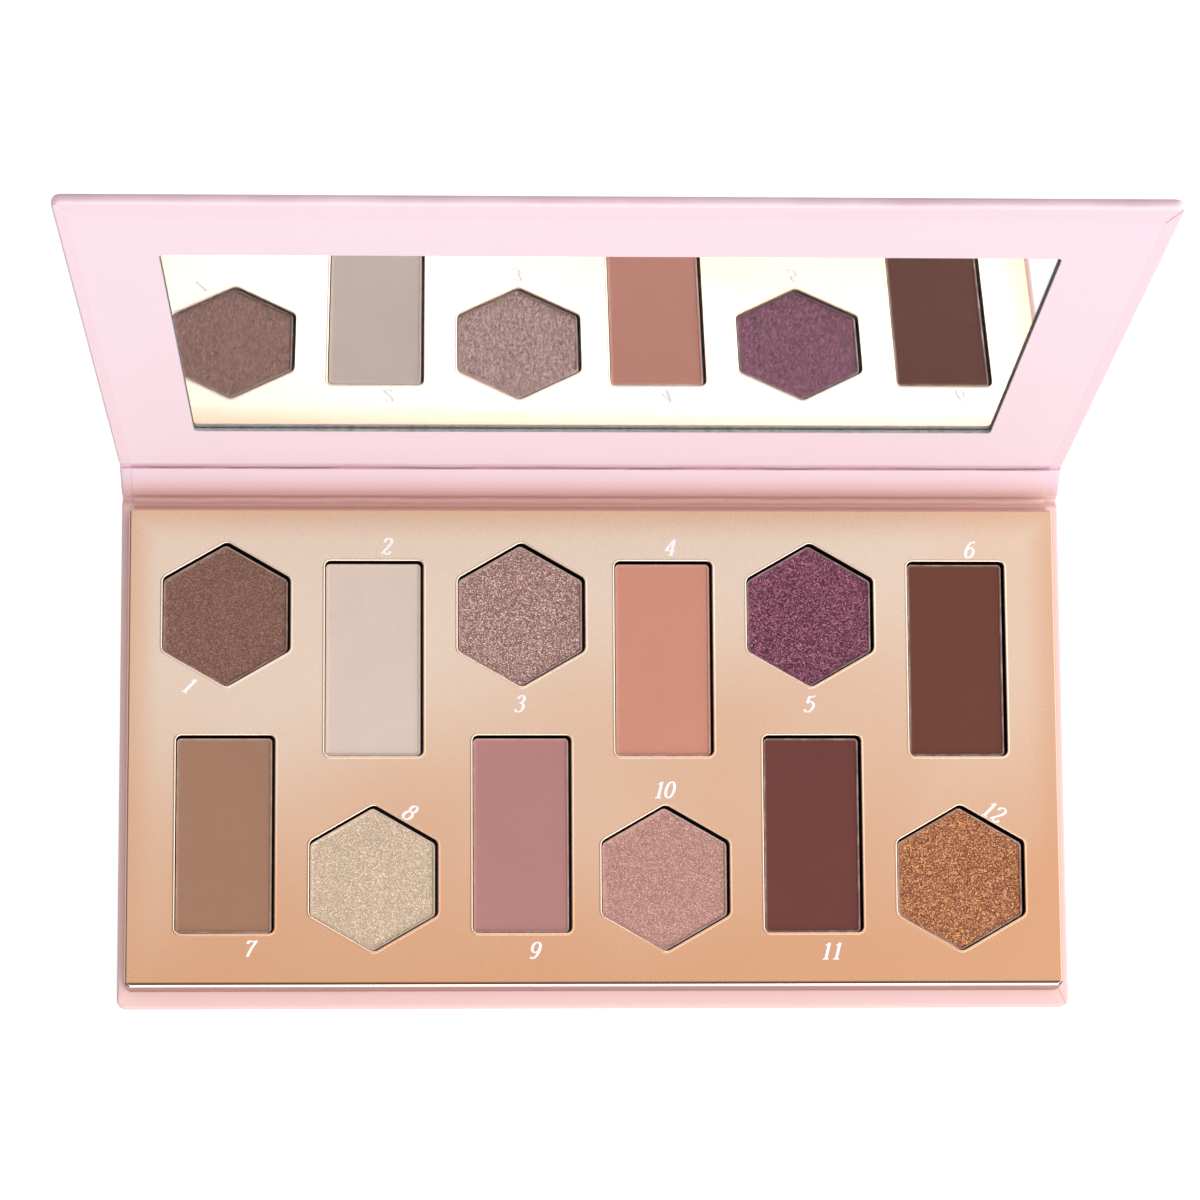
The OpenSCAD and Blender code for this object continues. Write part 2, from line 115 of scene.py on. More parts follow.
@dataclass
class Graph:
    """The nodes of a material or of the world."""

    tree: bpy.types.NodeTree

    def feed(self, socket: Socket, value: object) -> None:
        """Gives an input what it takes.

        Args:
            socket: the input.
            value: a node, which stands for the first of its outputs in use, a node's
                output, a hex colour or a plain value; None leaves the input as it is.
        """
        if isinstance(value, Node):
            value = next(output for output in value.outputs if output.enabled)
        if isinstance(value, Socket):
            self.tree.links.new(value, socket)
        elif value is not None:
            socket.default_value = linear(value) if isinstance(value, str) else value

    def put(self, node: Node, *inputs: object, **settings: object) -> Node:
        """Gives a node its settings and links.

        Args:
            node: the node.
            inputs: what its inputs in use take, in their order.
            settings: what its properties and other inputs take, by name.

        Returns:
            The same node.
        """
        names = [socket.name.lower().replace(" ", "_") for socket in node.inputs]
        for key, value in settings.items():
            if key not in names:
                setattr(node, key, value)
        used = [(socket, name) for socket, name in zip(node.inputs, names) if socket.enabled]
        for (socket, _), value in zip(used, inputs):
            self.feed(socket, value)
        for socket, name in used:
            self.feed(socket, settings.get(name))
        return node

    def add(self, kind: str, *inputs: object, **settings: object) -> Node:
        """Adds one node of a Blender type, less "ShaderNode", with its settings and links."""
        return self.put(self.tree.nodes.new("ShaderNode" + kind), *inputs, **settings)


@dataclass
class Patch:
    """Part of a mesh: points in millimetres and the faces between them."""

    points: np.ndarray
    faces: list[list[int]]


def grid_patch(points: np.ndarray, ring: bool = True, closed: bool = False, caps: bool = False) -> Patch:
    """Joins neighbouring points of a grid by quads.

    Args:
        points: grid of points, (rows, columns, 3).
        ring: whether the last row joins the first.
        closed: whether the last column joins the first.
        caps: whether the first and the last column are each closed by one face.

    Returns:
        The patch.
    """
    rows, columns = points.shape[:2]
    i, j = np.meshgrid(np.arange(rows - (not ring)), np.arange(columns - (not closed)), indexing="ij")
    down, along = (i + 1) % rows * columns, (j + 1) % columns
    quads = np.stack([i * columns + j, down + j, down + along, i * columns + along], axis=-1)
    faces = quads.reshape(-1, 4).tolist()
    if caps:
        edge = np.arange(rows) * columns
        faces += [edge.tolist(), (edge[::-1] + columns - 1).tolist()]
    return Patch(points.reshape(-1, 3), faces)


def block_patch(low: Point3, high: Point3) -> Patch:
    """Box between two corners, as a patch of six faces."""
    low_c, high_c = np.array(low, float), np.array(high, float)
    bits = np.array([[k & 1, k >> 1 & 1, k >> 2 & 1] for k in range(8)])
    faces = [[0, 2, 3, 1], [4, 5, 7, 6], [0, 1, 5, 4], [2, 6, 7, 3], [0, 4, 6, 2], [1, 3, 7, 5]]
    return Patch(low_c + bits * (high_c - low_c), faces)


def layered(rows: list[np.ndarray], heights: list[float] | np.ndarray) -> np.ndarray:
    """Grid of points from rows of flat points and a height for each row."""
    return np.stack([np.column_stack([row, np.full(len(row), z)]) for row, z in zip(rows, heights)])


def make_piece(
    name: str, patches: list[Patch], material: bpy.types.Material, sharp: float = 32.0
) -> bpy.types.Object:
    """Makes one object from patches: merges them, turns the faces out and shades them.

    Args:
        name: the piece's name.
        patches: its closed shells, in millimetres.
        material: its finish.
        sharp: edges that turn by more than this angle, in degrees, stay crisp.

    Returns:
        The object, at the origin, with its place in its mesh.
    """
    starts = np.cumsum([0] + [len(p.points) for p in patches])
    points = np.concatenate([p.points for p in patches]) * MM
    faces = [[k + int(s) for k in f] for p, s in zip(patches, starts) for f in p.faces]
    mesh = bpy.data.meshes.new(name)
    mesh.from_pydata(points.tolist(), [], faces)
    work = bmesh.new()
    work.from_mesh(mesh)
    merged = 1e-7
    bmesh.ops.remove_doubles(work, verts=work.verts, dist=merged)
    bmesh.ops.dissolve_degenerate(work, edges=work.edges, dist=merged)
    bmesh.ops.recalc_face_normals(work, faces=work.faces)
    work.to_mesh(mesh)
    work.free()
    mesh.polygons.foreach_set("use_smooth", np.ones(len(mesh.polygons), bool))
    mesh.set_sharp_from_angle(angle=math.radians(sharp))
    mesh.materials.append(material)
    piece = bpy.data.objects.new(name, mesh)
    bpy.context.scene.collection.objects.link(piece)
    return piece


# ---- the case's sizes and folds ----


def swing(points: np.ndarray, about: np.ndarray, angle: float) -> np.ndarray:
    """Turns points back by an angle in degrees about a line along X through a point."""
    c, s = math.cos(math.radians(angle)), math.sin(math.radians(angle))
    return (points - about) @ np.array([[1, 0, 0], [0, c, s], [0, -s, c]]).T + about


@dataclass(frozen=True)
class CaseSizes:
    """Sizes that the case's panels share, in millimetres and degrees."""

    width: float = 160.0
    depth: float = 85.6
    corner_r: float = 1.6
    edge_r: float = 0.6
    wrap: float = 0.15
    turn_in: float = 11.0
    liner: float = 0.1
    liner_inset: float = 2.0
    fold_margin: float = 1.6
    spine_board: float = 1.0
    base_face: float = 1.9
    lid_face: float = 6.5
    shut_height: float = 8.25
    spine_angle: float = 46.0
    lid_angle: float = 55.6

    @property
    def rear(self) -> float:
        """Y of a panel's fold side."""
        return self.depth / 2

    @property
    def fold_y(self) -> float:
        """Y of both fold lines in the shut case."""
        return self.rear + self.fold_margin

    @property
    def low_fold(self) -> np.ndarray:
        """Point on the spine's fold line."""
        return np.array([0.0, self.fold_y, self.wrap / 2])

    @property
    def high_fold(self) -> np.ndarray:
        """Point on the lid's fold line, with the case shut."""
        return np.array([0.0, self.fold_y, self.shut_height - self.wrap / 2])

    def on_spine(self, points: np.ndarray) -> np.ndarray:
        """Carries points from the shut case to the open spine."""
        return swing(points, self.low_fold, self.spine_angle)

    def on_lid(self, points: np.ndarray) -> np.ndarray:
        """Carries points from the shut case to the open lid."""
        return self.on_spine(swing(points, self.high_fold, self.lid_angle))


# ---- finishes ----

COLOURS = "RGBA"
SMOOTH = "SMOOTHSTEP"


@dataclass(frozen=True)
class Finish:
    """A finish: one Principled shader fed by patterns that read Object coordinates."""

    name: str

    def surface(self, nodes: Graph, near: Socket) -> Inputs:
        """Adds the finish's patterns.

        Args:
            nodes: the material's nodes.
            near: the coordinates, in metres.

        Returns:
            What the shader's inputs take, by name.
        """
        raise NotImplementedError

    def build(self) -> bpy.types.Material:
        """Makes the material."""
        material = bpy.data.materials.new(self.name)
        material.use_nodes = True
        nodes = Graph(material.node_tree)
        near = nodes.add("TexCoord").outputs["Object"]
        nodes.put(nodes.tree.nodes["Principled BSDF"], **self.surface(nodes, near))
        return material


@dataclass(frozen=True)
class WrappedPaper(Finish):
    """Art paper with a soft-touch matt film, glued over board: an even colour, a faint
    cloudiness from the glue, a very fine tooth and no clear reflections. Where a colour
    of painted shade is given, it is laid over the paper up to a wavering line across it."""

    tint: str
    cloud: str
    roughness: float = 0.68
    # Painted shade: its colour, the way it runs, and in mm where it is full and where it ends.
    dust: str = ""
    along: Point3 = (0.0, 0.7193, 0.6947)
    dusty_mm: float = 33.6
    clean_mm: float = 38.3
    tooth_mm: float = 0.22
    cloud_mm: float = 16.0

    def dusted(self, nodes: Graph, near: Socket, clouds: Node, paper: Node) -> Node:
        """Lays painted shade over the paper's colour.

        Args:
            nodes: the material's nodes.
            near: the coordinates.
            clouds: what makes the painted shade's edge waver.
            paper: the unshaded colour.

        Returns:
            The colour with the painted shade on it.
        """
        place = nodes.add("VectorMath", near, self.along, operation="DOT_PRODUCT")
        uneven = nodes.add("Math", clouds, 0.6 * MM, place, operation="MULTIPLY_ADD")
        ends = (self.dusty_mm * MM, self.clean_mm * MM)
        unshaded = nodes.add("MapRange", uneven, *ends, interpolation_type=SMOOTH)
        return nodes.add("Mix", unshaded, self.dust, paper, data_type=COLOURS)

    def surface(self, nodes: Graph, near: Socket) -> Inputs:
        """Adds the finish's patterns."""
        clouds = nodes.add("TexNoise", near, scale=scale(self.cloud_mm), detail=3.0, roughness=0.55)
        tooth = nodes.add("TexNoise", near, scale=scale(self.tooth_mm), detail=2.0, roughness=0.6)
        speck = nodes.add("MapRange", tooth, 0.3, 0.7, -0.12, 0.12)
        amount = nodes.add("Math", clouds, speck, operation="ADD", use_clamp=True)
        colour = nodes.add("Mix", amount, self.tint, self.cloud, data_type=COLOURS)
        if self.dust:
            colour = self.dusted(nodes, near, clouds, colour)
        cockle = nodes.add("Bump", strength=0.35, distance=0.25 * MM, height=clouds)
        grain = nodes.add("Bump", strength=0.3, distance=0.02 * MM, height=tooth, normal=cockle)
        rough = {"roughness": self.roughness, "specular_ior_level": 0.15}
        return rough | {"base_color": colour, "normal": grain}


@dataclass(frozen=True)
class FoldLining(Finish):
    """Lining paper pressed down in a fold, its colour set by its depth in the fold as painted
    light and shade: crease is the colour at the bottom and tint the colour higher up. It
    reads the mesh's own depth, so it moves with the fold."""

    # Painted light and shade by depth: tint higher up in the fold, crease at its bottom.
    tint: str
    crease: str
    floor_mm: float
    reach_mm: float

    def surface(self, nodes: Graph, near: Socket) -> Inputs:
        """Adds the finish's patterns."""
        depth = nodes.add("Attribute", attribute_name=DEPTH).outputs["Fac"]
        wander = nodes.add("TexNoise", near, scale=scale(4.0), detail=3.0)
        uneven = nodes.add("Math", wander, 0.4, depth, operation="MULTIPLY_ADD")
        ends = (self.floor_mm, self.floor_mm + self.reach_mm)
        amount = nodes.add("MapRange", uneven, *ends, interpolation_type=SMOOTH)
        colour = nodes.add("Mix", amount, self.crease, self.tint, data_type=COLOURS)
        return {"roughness": 0.55, "base_color": colour}


@dataclass(frozen=True)
class GreyBoard(Finish):
    """Pressed recycled board: a cut edge shows short fibres, thin layers and dark flecks."""

    pale: str = "#C2BFBB"
    dark: str = "#8E8A87"

    def surface(self, nodes: Graph, near: Socket) -> Inputs:
        """Adds the finish's patterns."""
        layers = nodes.add("Mapping", near, scale=(1.0, 3.0, 3.0))
        fibres = nodes.add("TexNoise", layers, scale=900.0, detail=5.0, roughness=0.65)
        spread = nodes.add("MapRange", fibres, 0.35, 0.65)
        colour = nodes.add("Mix", spread, self.dark, self.pale, data_type=COLOURS)
        rough = nodes.add("Bump", strength=0.6, distance=0.06 * MM, height=fibres)
        return {"roughness": 0.95, "specular_ior_level": 0.2, "base_color": colour, "normal": rough}


@dataclass(frozen=True)
class SatinRoseGold(Finish):
    """Vacuum-metallised polystyrene under a tinted satin lacquer: a soft metal glow whose
    colour is a painted reflection, pale at the back and deeper peach towards the front,
    and deeper still near the rim. A painted dark reflection lines the front edge of the
    deck, and the walls of the wells are painted dark as painted shade."""

    # pale and deep make a painted reflection from back to front; thick is a painted dark reflection at the
    # front edge; well is painted shade on the walls of the wells.
    pale: str = "#E8D1BE"
    deep: str = "#DBA580"
    thick: str = "#4A2A1E"
    well: str = "#1E1410"
    pale_y: float = 34.0
    deep_y: float = -40.0
    slant: float = 0.22
    wander: float = 12.0
    roughness: float = 0.26
    half_width: float = 78.2
    half_length: float = 40.35
    centre_y: float = 1.05
    rim_mm: float = 6.0
    deck: float = 6.1

    def rim_distance(self, nodes: Graph, place: dict[str, Socket]) -> Node:
        """Distance from the tray's nearest outer side, in metres."""
        sides = []
        for axis, middle, half in (("X", 0.0, self.half_width), ("Y", self.centre_y, self.half_length)):
            moved = nodes.add("Math", place[axis], middle * MM, operation="SUBTRACT")
            off = nodes.add("Math", moved, operation="ABSOLUTE")
            sides.append(nodes.add("Math", half * MM, off, operation="SUBTRACT"))
        return nodes.add("Math", *sides, operation="MINIMUM")

    def lacquer(self, nodes: Graph, near: Socket, place: dict[str, Socket], from_rim: Node) -> Node:
        """Paints the deck's colour without the wells: a painted reflection and a painted dark front edge.

        Args:
            nodes: the material's nodes.
            near: the coordinates.
            place: the same, by axis.
            from_rim: distance from the tray's nearest side.

        Returns:
            The lacquer's colour.
        """
        drift = nodes.add("TexNoise", near, scale=scale(45.0), detail=1.0)
        wander = nodes.add("MapRange", drift, 0.3, 0.7, -self.wander * MM, self.wander * MM)
        leaning = nodes.add("Math", place["X"], -self.slant, place["Y"], operation="MULTIPLY_ADD")
        along = nodes.add("Math", leaning, wander, operation="ADD")
        ends = (self.deep_y * MM, self.pale_y * MM)
        amount = nodes.add("MapRange", along, *ends, interpolation_type=SMOOTH)
        # Deeper tint within a few millimetres of the rim.
        thin = nodes.add("MapRange", from_rim, 0.0, self.rim_mm * MM, 0.4, 1.0, interpolation_type=SMOOTH)
        share = nodes.add("Math", amount, thin, operation="MULTIPLY")
        colour = nodes.add("Mix", share, self.deep, self.pale, data_type=COLOURS)
        front = self.centre_y - self.half_length
        # Painted dark reflection along the front edge of the deck.
        painted_dark_edge = nodes.add("MapRange", place["Y"], (front + 0.6) * MM, (front + 0.85) * MM, 0.9, 0.0)
        return nodes.add("Mix", painted_dark_edge, colour, self.thick, data_type=COLOURS)

    def surface(self, nodes: Graph, near: Socket) -> Inputs:
        """Adds the finish's patterns."""
        place = nodes.add("SeparateXYZ", near).outputs
        from_rim = self.rim_distance(nodes, place)
        # Painted shade: the walls of the wells are painted dark below the deck.
        inside = nodes.add("Math", from_rim, 2 * MM, operation="GREATER_THAN")
        depth = nodes.add("MapRange", place["Z"], (self.deck - 0.22) * MM, (self.deck - 0.75) * MM)
        bare = nodes.add("Math", inside, depth, operation="MULTIPLY")
        lacquer = self.lacquer(nodes, near, place, from_rim)
        colour = nodes.add("Mix", bare, lacquer, self.well, data_type=COLOURS)
        grit = nodes.add("TexNoise", near, scale=scale(0.16), detail=2.0)
        gloss = nodes.add("MapRange", grit, 0.3, 0.7, self.roughness - 0.02, self.roughness + 0.02)
        satin = nodes.add("Bump", strength=0.06, distance=0.01 * MM, height=grit)
        return {"metallic": 0.88, "base_color": colour, "roughness": gloss, "normal": satin}


@dataclass(frozen=True)
class BrightMetal(Finish):
    """A bright metal surface: polished, rolled, plated or silvered, with faint streaks
    left along it by the tool or the bath."""

    tint: str
    streak: str
    roughness: float
    metallic: float = 1.0
    streak_mm: Point3 = (3.0, 0.3, 0.3)

    def surface(self, nodes: Graph, near: Socket) -> Inputs:
        """Adds the finish's patterns."""
        lines = nodes.add("Mapping", near, scale=tuple(map(scale, self.streak_mm)))
        streaks = nodes.add("TexNoise", lines, scale=1.0, detail=2.0)
        colour = nodes.add("Mix", streaks, self.tint, self.streak, data_type=COLOURS)
        gloss = nodes.add("MapRange", streaks, to_min=self.roughness * 0.8, to_max=self.roughness * 1.2)
        return {"metallic": self.metallic, "base_color": colour, "roughness": gloss}


@dataclass(frozen=True)
class RubbedEdge(Finish):
    """The tray's upper edge: tinted satin lacquer all round, with a painted highlight along
    the front, where the colour turns near-white and the surface glossier."""

    # lacquer is the edge's colour; bare is the near-white painted highlight along the front.
    lacquer: str = "#D9AE95"
    bare: str = "#FFF4EC"
    front_y: float = -38.6

    def surface(self, nodes: Graph, near: Socket) -> Inputs:
        """Adds the finish's patterns."""
        place = nodes.add("SeparateXYZ", near).outputs
        wear = nodes.add("TexNoise", near, scale=scale(6.0), detail=3.0)
        reach = nodes.add("Math", wear, 0.5 * MM, place["Y"], operation="MULTIPLY_ADD")
        # Painted highlight along the front of the edge.
        painted_highlight = nodes.add("MapRange", reach, (self.front_y + 0.4) * MM, self.front_y * MM)
        colour = nodes.add("Mix", painted_highlight, self.lacquer, self.bare, data_type=COLOURS)
        gloss = nodes.add("MapRange", painted_highlight, to_min=0.32, to_max=0.14)
        return {"metallic": 0.92, "base_color": colour, "roughness": gloss}


@dataclass(frozen=True)
class DustedPan(Finish):
    """Drawn aluminium pan whose rim is smeared with the powder that was pressed in it: the
    bare metal glints only here and there."""

    powder: str
    metal: str = "#D3C2B8"

    def surface(self, nodes: Graph, near: Socket) -> Inputs:
        """Adds the finish's patterns."""
        smear = nodes.add("TexNoise", near, scale=scale(2.5), detail=4.0, roughness=0.6)
        bare = nodes.add("MapRange", smear, 0.42, 0.68, 0.25, 0.75)
        colour = nodes.add("Mix", bare, self.powder, self.metal, data_type=COLOURS)
        return {"roughness": 0.5, "base_color": colour, "metallic": bare}


@dataclass(frozen=True)
class FloatGlass(Finish):
    """Thin clear sheet in front of the silvering: colourless, polished, dead flat."""

    def surface(self, nodes: Graph, near: Socket) -> Inputs:
        """Adds the finish's patterns."""
        haze = nodes.add("TexNoise", near, scale=40.0)
        tint = nodes.add("Mix", haze, "#FFFFFF", "#FCFEFD", data_type=COLOURS)
        return {"base_color": tint, "transmission_weight": 1.0, "roughness": 0.0, "ior": 1.5}


@dataclass(frozen=True)
class PlainFilm(Finish):
    """A thin coat of one material, such as screen ink, glue or tape: one tint, slightly
    uneven, with a soft surface."""

    tint: str
    other: str
    roughness: float

    def surface(self, nodes: Graph, near: Socket) -> Inputs:
        """Adds the finish's patterns."""
        noise = nodes.add("TexNoise", near, scale=scale(0.6), detail=3.0)
        colour = nodes.add("Mix", noise, self.tint, self.other, data_type=COLOURS)
        uneven = nodes.add("Bump", strength=0.2, distance=0.01 * MM, height=noise)
        return {"roughness": self.roughness, "base_color": colour, "normal": uneven}


@dataclass(frozen=True)
class Mica:
    """Mica in a shade. Real flakes are 0.02 to 0.15 mm across; they are drawn about twice
    as coarse so that they show."""

    size_mm: float
    share: float  # of the flakes that catch the light
    tilt: float
    hollow: float  # how dark it is between flakes


class Press(Enum):
    """How a shade is made: with no mica, with fine mica or with coarse mica."""

    MATTE = None
    SATIN = Mica(size_mm=0.12, share=0.45, tilt=0.38, hollow=0.46)
    GLITTER = Mica(size_mm=0.15, share=0.5, tilt=0.62, hollow=0.55)


@dataclass(frozen=True)
class PressedPowder(Finish):
    """Pigment, talc and mica pressed in a pan: a matte shade is velvety with a fine grain,
    and mica flakes lie nearly flat and catch the light one by one in the others."""

    tint: str
    press: Press
    flake: str
    mottle: float = 0.09
    pit: float = 0.35

    def pigment(self, factor: float) -> tuple[float, ...]:
        """The tint, darker or paler by a factor."""
        return (*np.minimum(np.array(linear(self.tint)[:3]) * factor, 1).tolist(), 1.0)

    def flaked(self, nodes: Graph, near: Socket, body: Node, crumb: Node) -> Inputs:
        """Strews mica over the powder.

        Args:
            nodes: the material's nodes.
            near: the coordinates.
            body: the powder's colour.
            crumb: its normal.

        Returns:
            What the shader's inputs take, by name.
        """
        mica = self.press.value
        flakes = nodes.add("TexVoronoi", near, scale=scale(mica.size_mm)).outputs["Color"]
        dice = nodes.add("SeparateColor", flakes).outputs
        shows = nodes.add("MapRange", dice["Red"], 1 - mica.share, 1.0, 0.0, 0.9)
        metal = nodes.add("MapRange", dice["Red"], 1 - mica.share, 1.0, 0.15, 0.8)
        shade = nodes.add("MapRange", dice["Green"], to_min=mica.hollow, to_max=0.0)
        hollow = nodes.add("Mix", shade, body, self.pigment(self.pit), data_type=COLOURS)
        colour = nodes.add("Mix", shows, hollow, self.flake, data_type=COLOURS)
        tilt, back = (mica.tilt, mica.tilt, 0.0), (-mica.tilt / 2, -mica.tilt / 2, 0.0)
        lean = nodes.add("VectorMath", flakes, tilt, back, operation="MULTIPLY_ADD")
        leaning = nodes.add("VectorMath", crumb, lean, operation="ADD")
        facing = nodes.add("VectorMath", leaning, operation="NORMALIZE")
        return {"roughness": 0.42, "base_color": colour, "metallic": metal, "normal": facing}

    def surface(self, nodes: Graph, near: Socket) -> Inputs:
        """Adds the finish's patterns."""
        clouds = nodes.add("TexNoise", near, scale=scale(7.0), detail=3.0)
        grain = nodes.add("TexNoise", near, scale=scale(0.2), detail=3.0, roughness=0.7)
        fine = nodes.add("MapRange", grain, 0.25, 0.75, -0.175, 0.825)
        mottle = nodes.add("Math", clouds, 0.35, fine, operation="MULTIPLY_ADD")
        tints = (self.pigment(1 - self.mottle), self.pigment(1 + self.mottle))
        body = nodes.add("Mix", mottle, *tints, data_type=COLOURS)
        crumb = nodes.add("Bump", strength=0.5, distance=0.03 * MM, height=grain)
        if self.press is not Press.MATTE:
            return self.flaked(nodes, near, body, crumb)
        return {"roughness": 0.9, "specular_ior_level": 0.25, "base_color": body, "normal": crumb}


def backdrop_rays(nodes: Graph) -> Node:
    """Whether the camera, a reflection or glass looks at this surface, from 0 to 1."""
    path = nodes.add("LightPath").outputs
    seen = nodes.add("Math", path["Is Camera Ray"], path["Is Glossy Ray"], operation="MAXIMUM")
    return nodes.add("Math", seen, path["Is Transmission Ray"], operation="MAXIMUM")


@dataclass(frozen=True)
class FloorPaper(Finish):
    """White background paper, lifted to white where it is seen, that keeps a shadow."""

    def surface(self, nodes: Graph, near: Socket) -> Inputs:
        """Adds the finish's patterns."""
        noise = nodes.add("TexNoise", near, scale=6.0)
        colour = nodes.add("Mix", noise, "#C4C4C4", "#C6C6C6", data_type=COLOURS)
        glow = nodes.add("MapRange", backdrop_rays(nodes), to_max=0.68)
        dull = {"roughness": 0.9, "specular_ior_level": 0.0, "base_color": colour}
        return dull | {"emission_color": WHITE, "emission_strength": glow}


@dataclass
class Finishes:
    """Every finish of the palette, each made once."""

    made: dict[str, bpy.types.Material] = field(default_factory=dict)

    def get(self, finish: Finish) -> bpy.types.Material:
        """Returns the material of a finish, making it the first time."""
        if finish.name not in self.made:
            self.made[finish.name] = finish.build()
        return self.made[finish.name]


PINK_PAPER = WrappedPaper("soft_touch_pink_paper", "#F4DAE2", "#F2D6DF")
# Painted shade: mauve over the lid's rounded top edge, where it turns away from the light.
LID_PAPER = WrappedPaper(
    "pink_lid_paper", "#F4DAE2", "#F2D6DF", 0.68, "#BA98A2", (0.0, 0.544, 0.9092), 120.15, 119.25
)
# Painted shade: a darker copy of the pink paper, darker still towards the spine's lower edge.
SPINE_PAPER = WrappedPaper("dusty_spine_paper", "#E6CFDC", "#E3CBD8", dust="#DDB4B0")
# Painted light and shade: the lid's pink paper made more salmon and darker, for the warm bounce from the
# tray and its shade.
BASE_PAPER = WrappedPaper("handled_pink_paper", "#EFCDCA", "#ECC8C4")
LINING_PAPER = WrappedPaper("pink_lining_paper", "#F4DDE6", "#F2DAE3", 0.7)
# Painted shade: a darker copy of the lining, browner towards the spine's lower edge by the tray.
SPINE_LINING = WrappedPaper("dusty_spine_lining", "#EBD0D8", "#E9CED8", 0.6, "#E3B6AF")
# Painted light and shade: a warmer, darker copy of the lining, painted brown on the rear strip behind the
# tray.
BASE_LINING = WrappedPaper(
    "dusty_base_lining", "#EFCBC6", "#EDC9C4", 0.6, "#D5ABA0", (0.0, -1.0, 0.0), -42.6, -40.5
)
# Painted light and shade in the spine's fold: a brownish shade higher up, paler at the bottom to lift the
# fold's own shadow.
LOW_FOLD = FoldLining("dusty_low_fold", "#E4BAAF", "#F7DAD1", floor_mm=0.2, reach_mm=1.2)
# Painted shade: a darker line at the bottom of the lid's fold.
HIGH_FOLD = FoldLining("burnished_high_fold", "#EED4DC", "#E3C2CB", floor_mm=0.36, reach_mm=0.5)
GREY_BOARD = GreyBoard("grey_board")
ROSE_GOLD = SatinRoseGold("satin_rose_gold_lacquer")
WELL_EDGE = BrightMetal("bright_well_edge", "#F8E4D2", "#EFD3BB", roughness=0.16)
# Painted highlight: the tray's edge is near-white along the front.
PAINTED_HIGHLIGHT_EDGE = RubbedEdge("rubbed_tray_edge")
# Painted shade: the wall under the tray's edge gets a darker mauve tint than the deck.
SHADED_GOLD = BrightMetal("thin_lacquer_on_wall", "#C39F9A", "#B48E89", roughness=0.35)
SILVERING = BrightMetal("silvered_mirror_back", "#E3E1E4", "#E0DEE2", roughness=0.004, metallic=0.95)
NICKEL = BrightMetal("nickel_plated_magnet", "#C9C6C0", "#B4B1AC", roughness=0.22)
GLASS = FloatGlass("mirror_glass")
WHITE_INK = PlainFilm("white_screen_ink", "#FBF8FB", "#F3EFF4", roughness=0.5)
ADHESIVE = PlainFilm("adhesive", "#EDE6C8", "#DDD4B0", roughness=0.35)


# ---- outlines ----


@dataclass(frozen=True)
class Outline:
    """A closed outline with rounded corners, seen from above.

    Each corner is an arc about a centre that lies max(radius, inset) in from both its
    sides; the points between two corners divide the straight side evenly.
    """

    corners: np.ndarray
    radius: float
    arc_steps: int = 8
    side_steps: int = 6

    def at(self, inset: float) -> np.ndarray:
        """Points of the outline moved in by a distance.

        Args:
            inset: how far in, in millimetres; a negative value moves it out.

        Returns:
            The points, (n, 2), anticlockwise.
        """
        ahead = unit(np.roll(self.corners, -1, axis=0) - self.corners)
        back = np.roll(ahead, 1, axis=0)
        out_in, out_on = (np.stack([way[:, 1], -way[:, 0]], axis=1) for way in (back, ahead))
        reach = (out_in + out_on) / (1 + (out_in * out_on).sum(axis=1, keepdims=True))
        depth, radius = max(self.radius, inset), max(self.radius - inset, 0.0)
        centres = self.corners - reach * depth
        start = np.arctan2(out_in[:, 1], out_in[:, 0])
        sweep = (np.arctan2(out_on[:, 1], out_on[:, 0]) - start) % (2 * math.pi)
        angle = start[:, None] + sweep[:, None] * np.linspace(0, 1, self.arc_steps + 1)
        arcs = centres[:, None] + radius * circle(angle)
        f = np.linspace(0, 1, self.side_steps + 1)[1:-1, None]
        sides = arcs[:, -1:] * (1 - f) + np.roll(arcs[:, 0], -1, axis=0)[:, None] * f
        return np.concatenate([arcs, sides], axis=1).reshape(-1, 2)


def hexagon(across_flats: float, centre: Point2) -> np.ndarray:
    """Corners of a hexagon with one corner at +Y, anticlockwise."""
    angle = np.radians(np.arange(30, 390, 60))
    reach = across_flats / 2 / math.cos(math.radians(30))
    return circle(angle) * reach + centre


def rectangle(width: float, length: float, centre: Point2) -> np.ndarray:
    """Corners of a rectangle, anticlockwise."""
    signs = np.array([[-1, -1], [1, -1], [1, 1], [-1, 1]])
    return signs * np.array([width, length]) / 2 + centre


def swept(outline: Outline, insets: np.ndarray, heights: np.ndarray) -> np.ndarray:
    """Carries a section, given by its insets and heights, round an outline."""
    return layered([outline.at(float(inset)) for inset in insets], heights)


# ---- the wrapped panels ----


@dataclass
class Assembly:
    """A part of the palette, made from the case's sizes and finishes."""

    sizes: CaseSizes
    finishes: Finishes


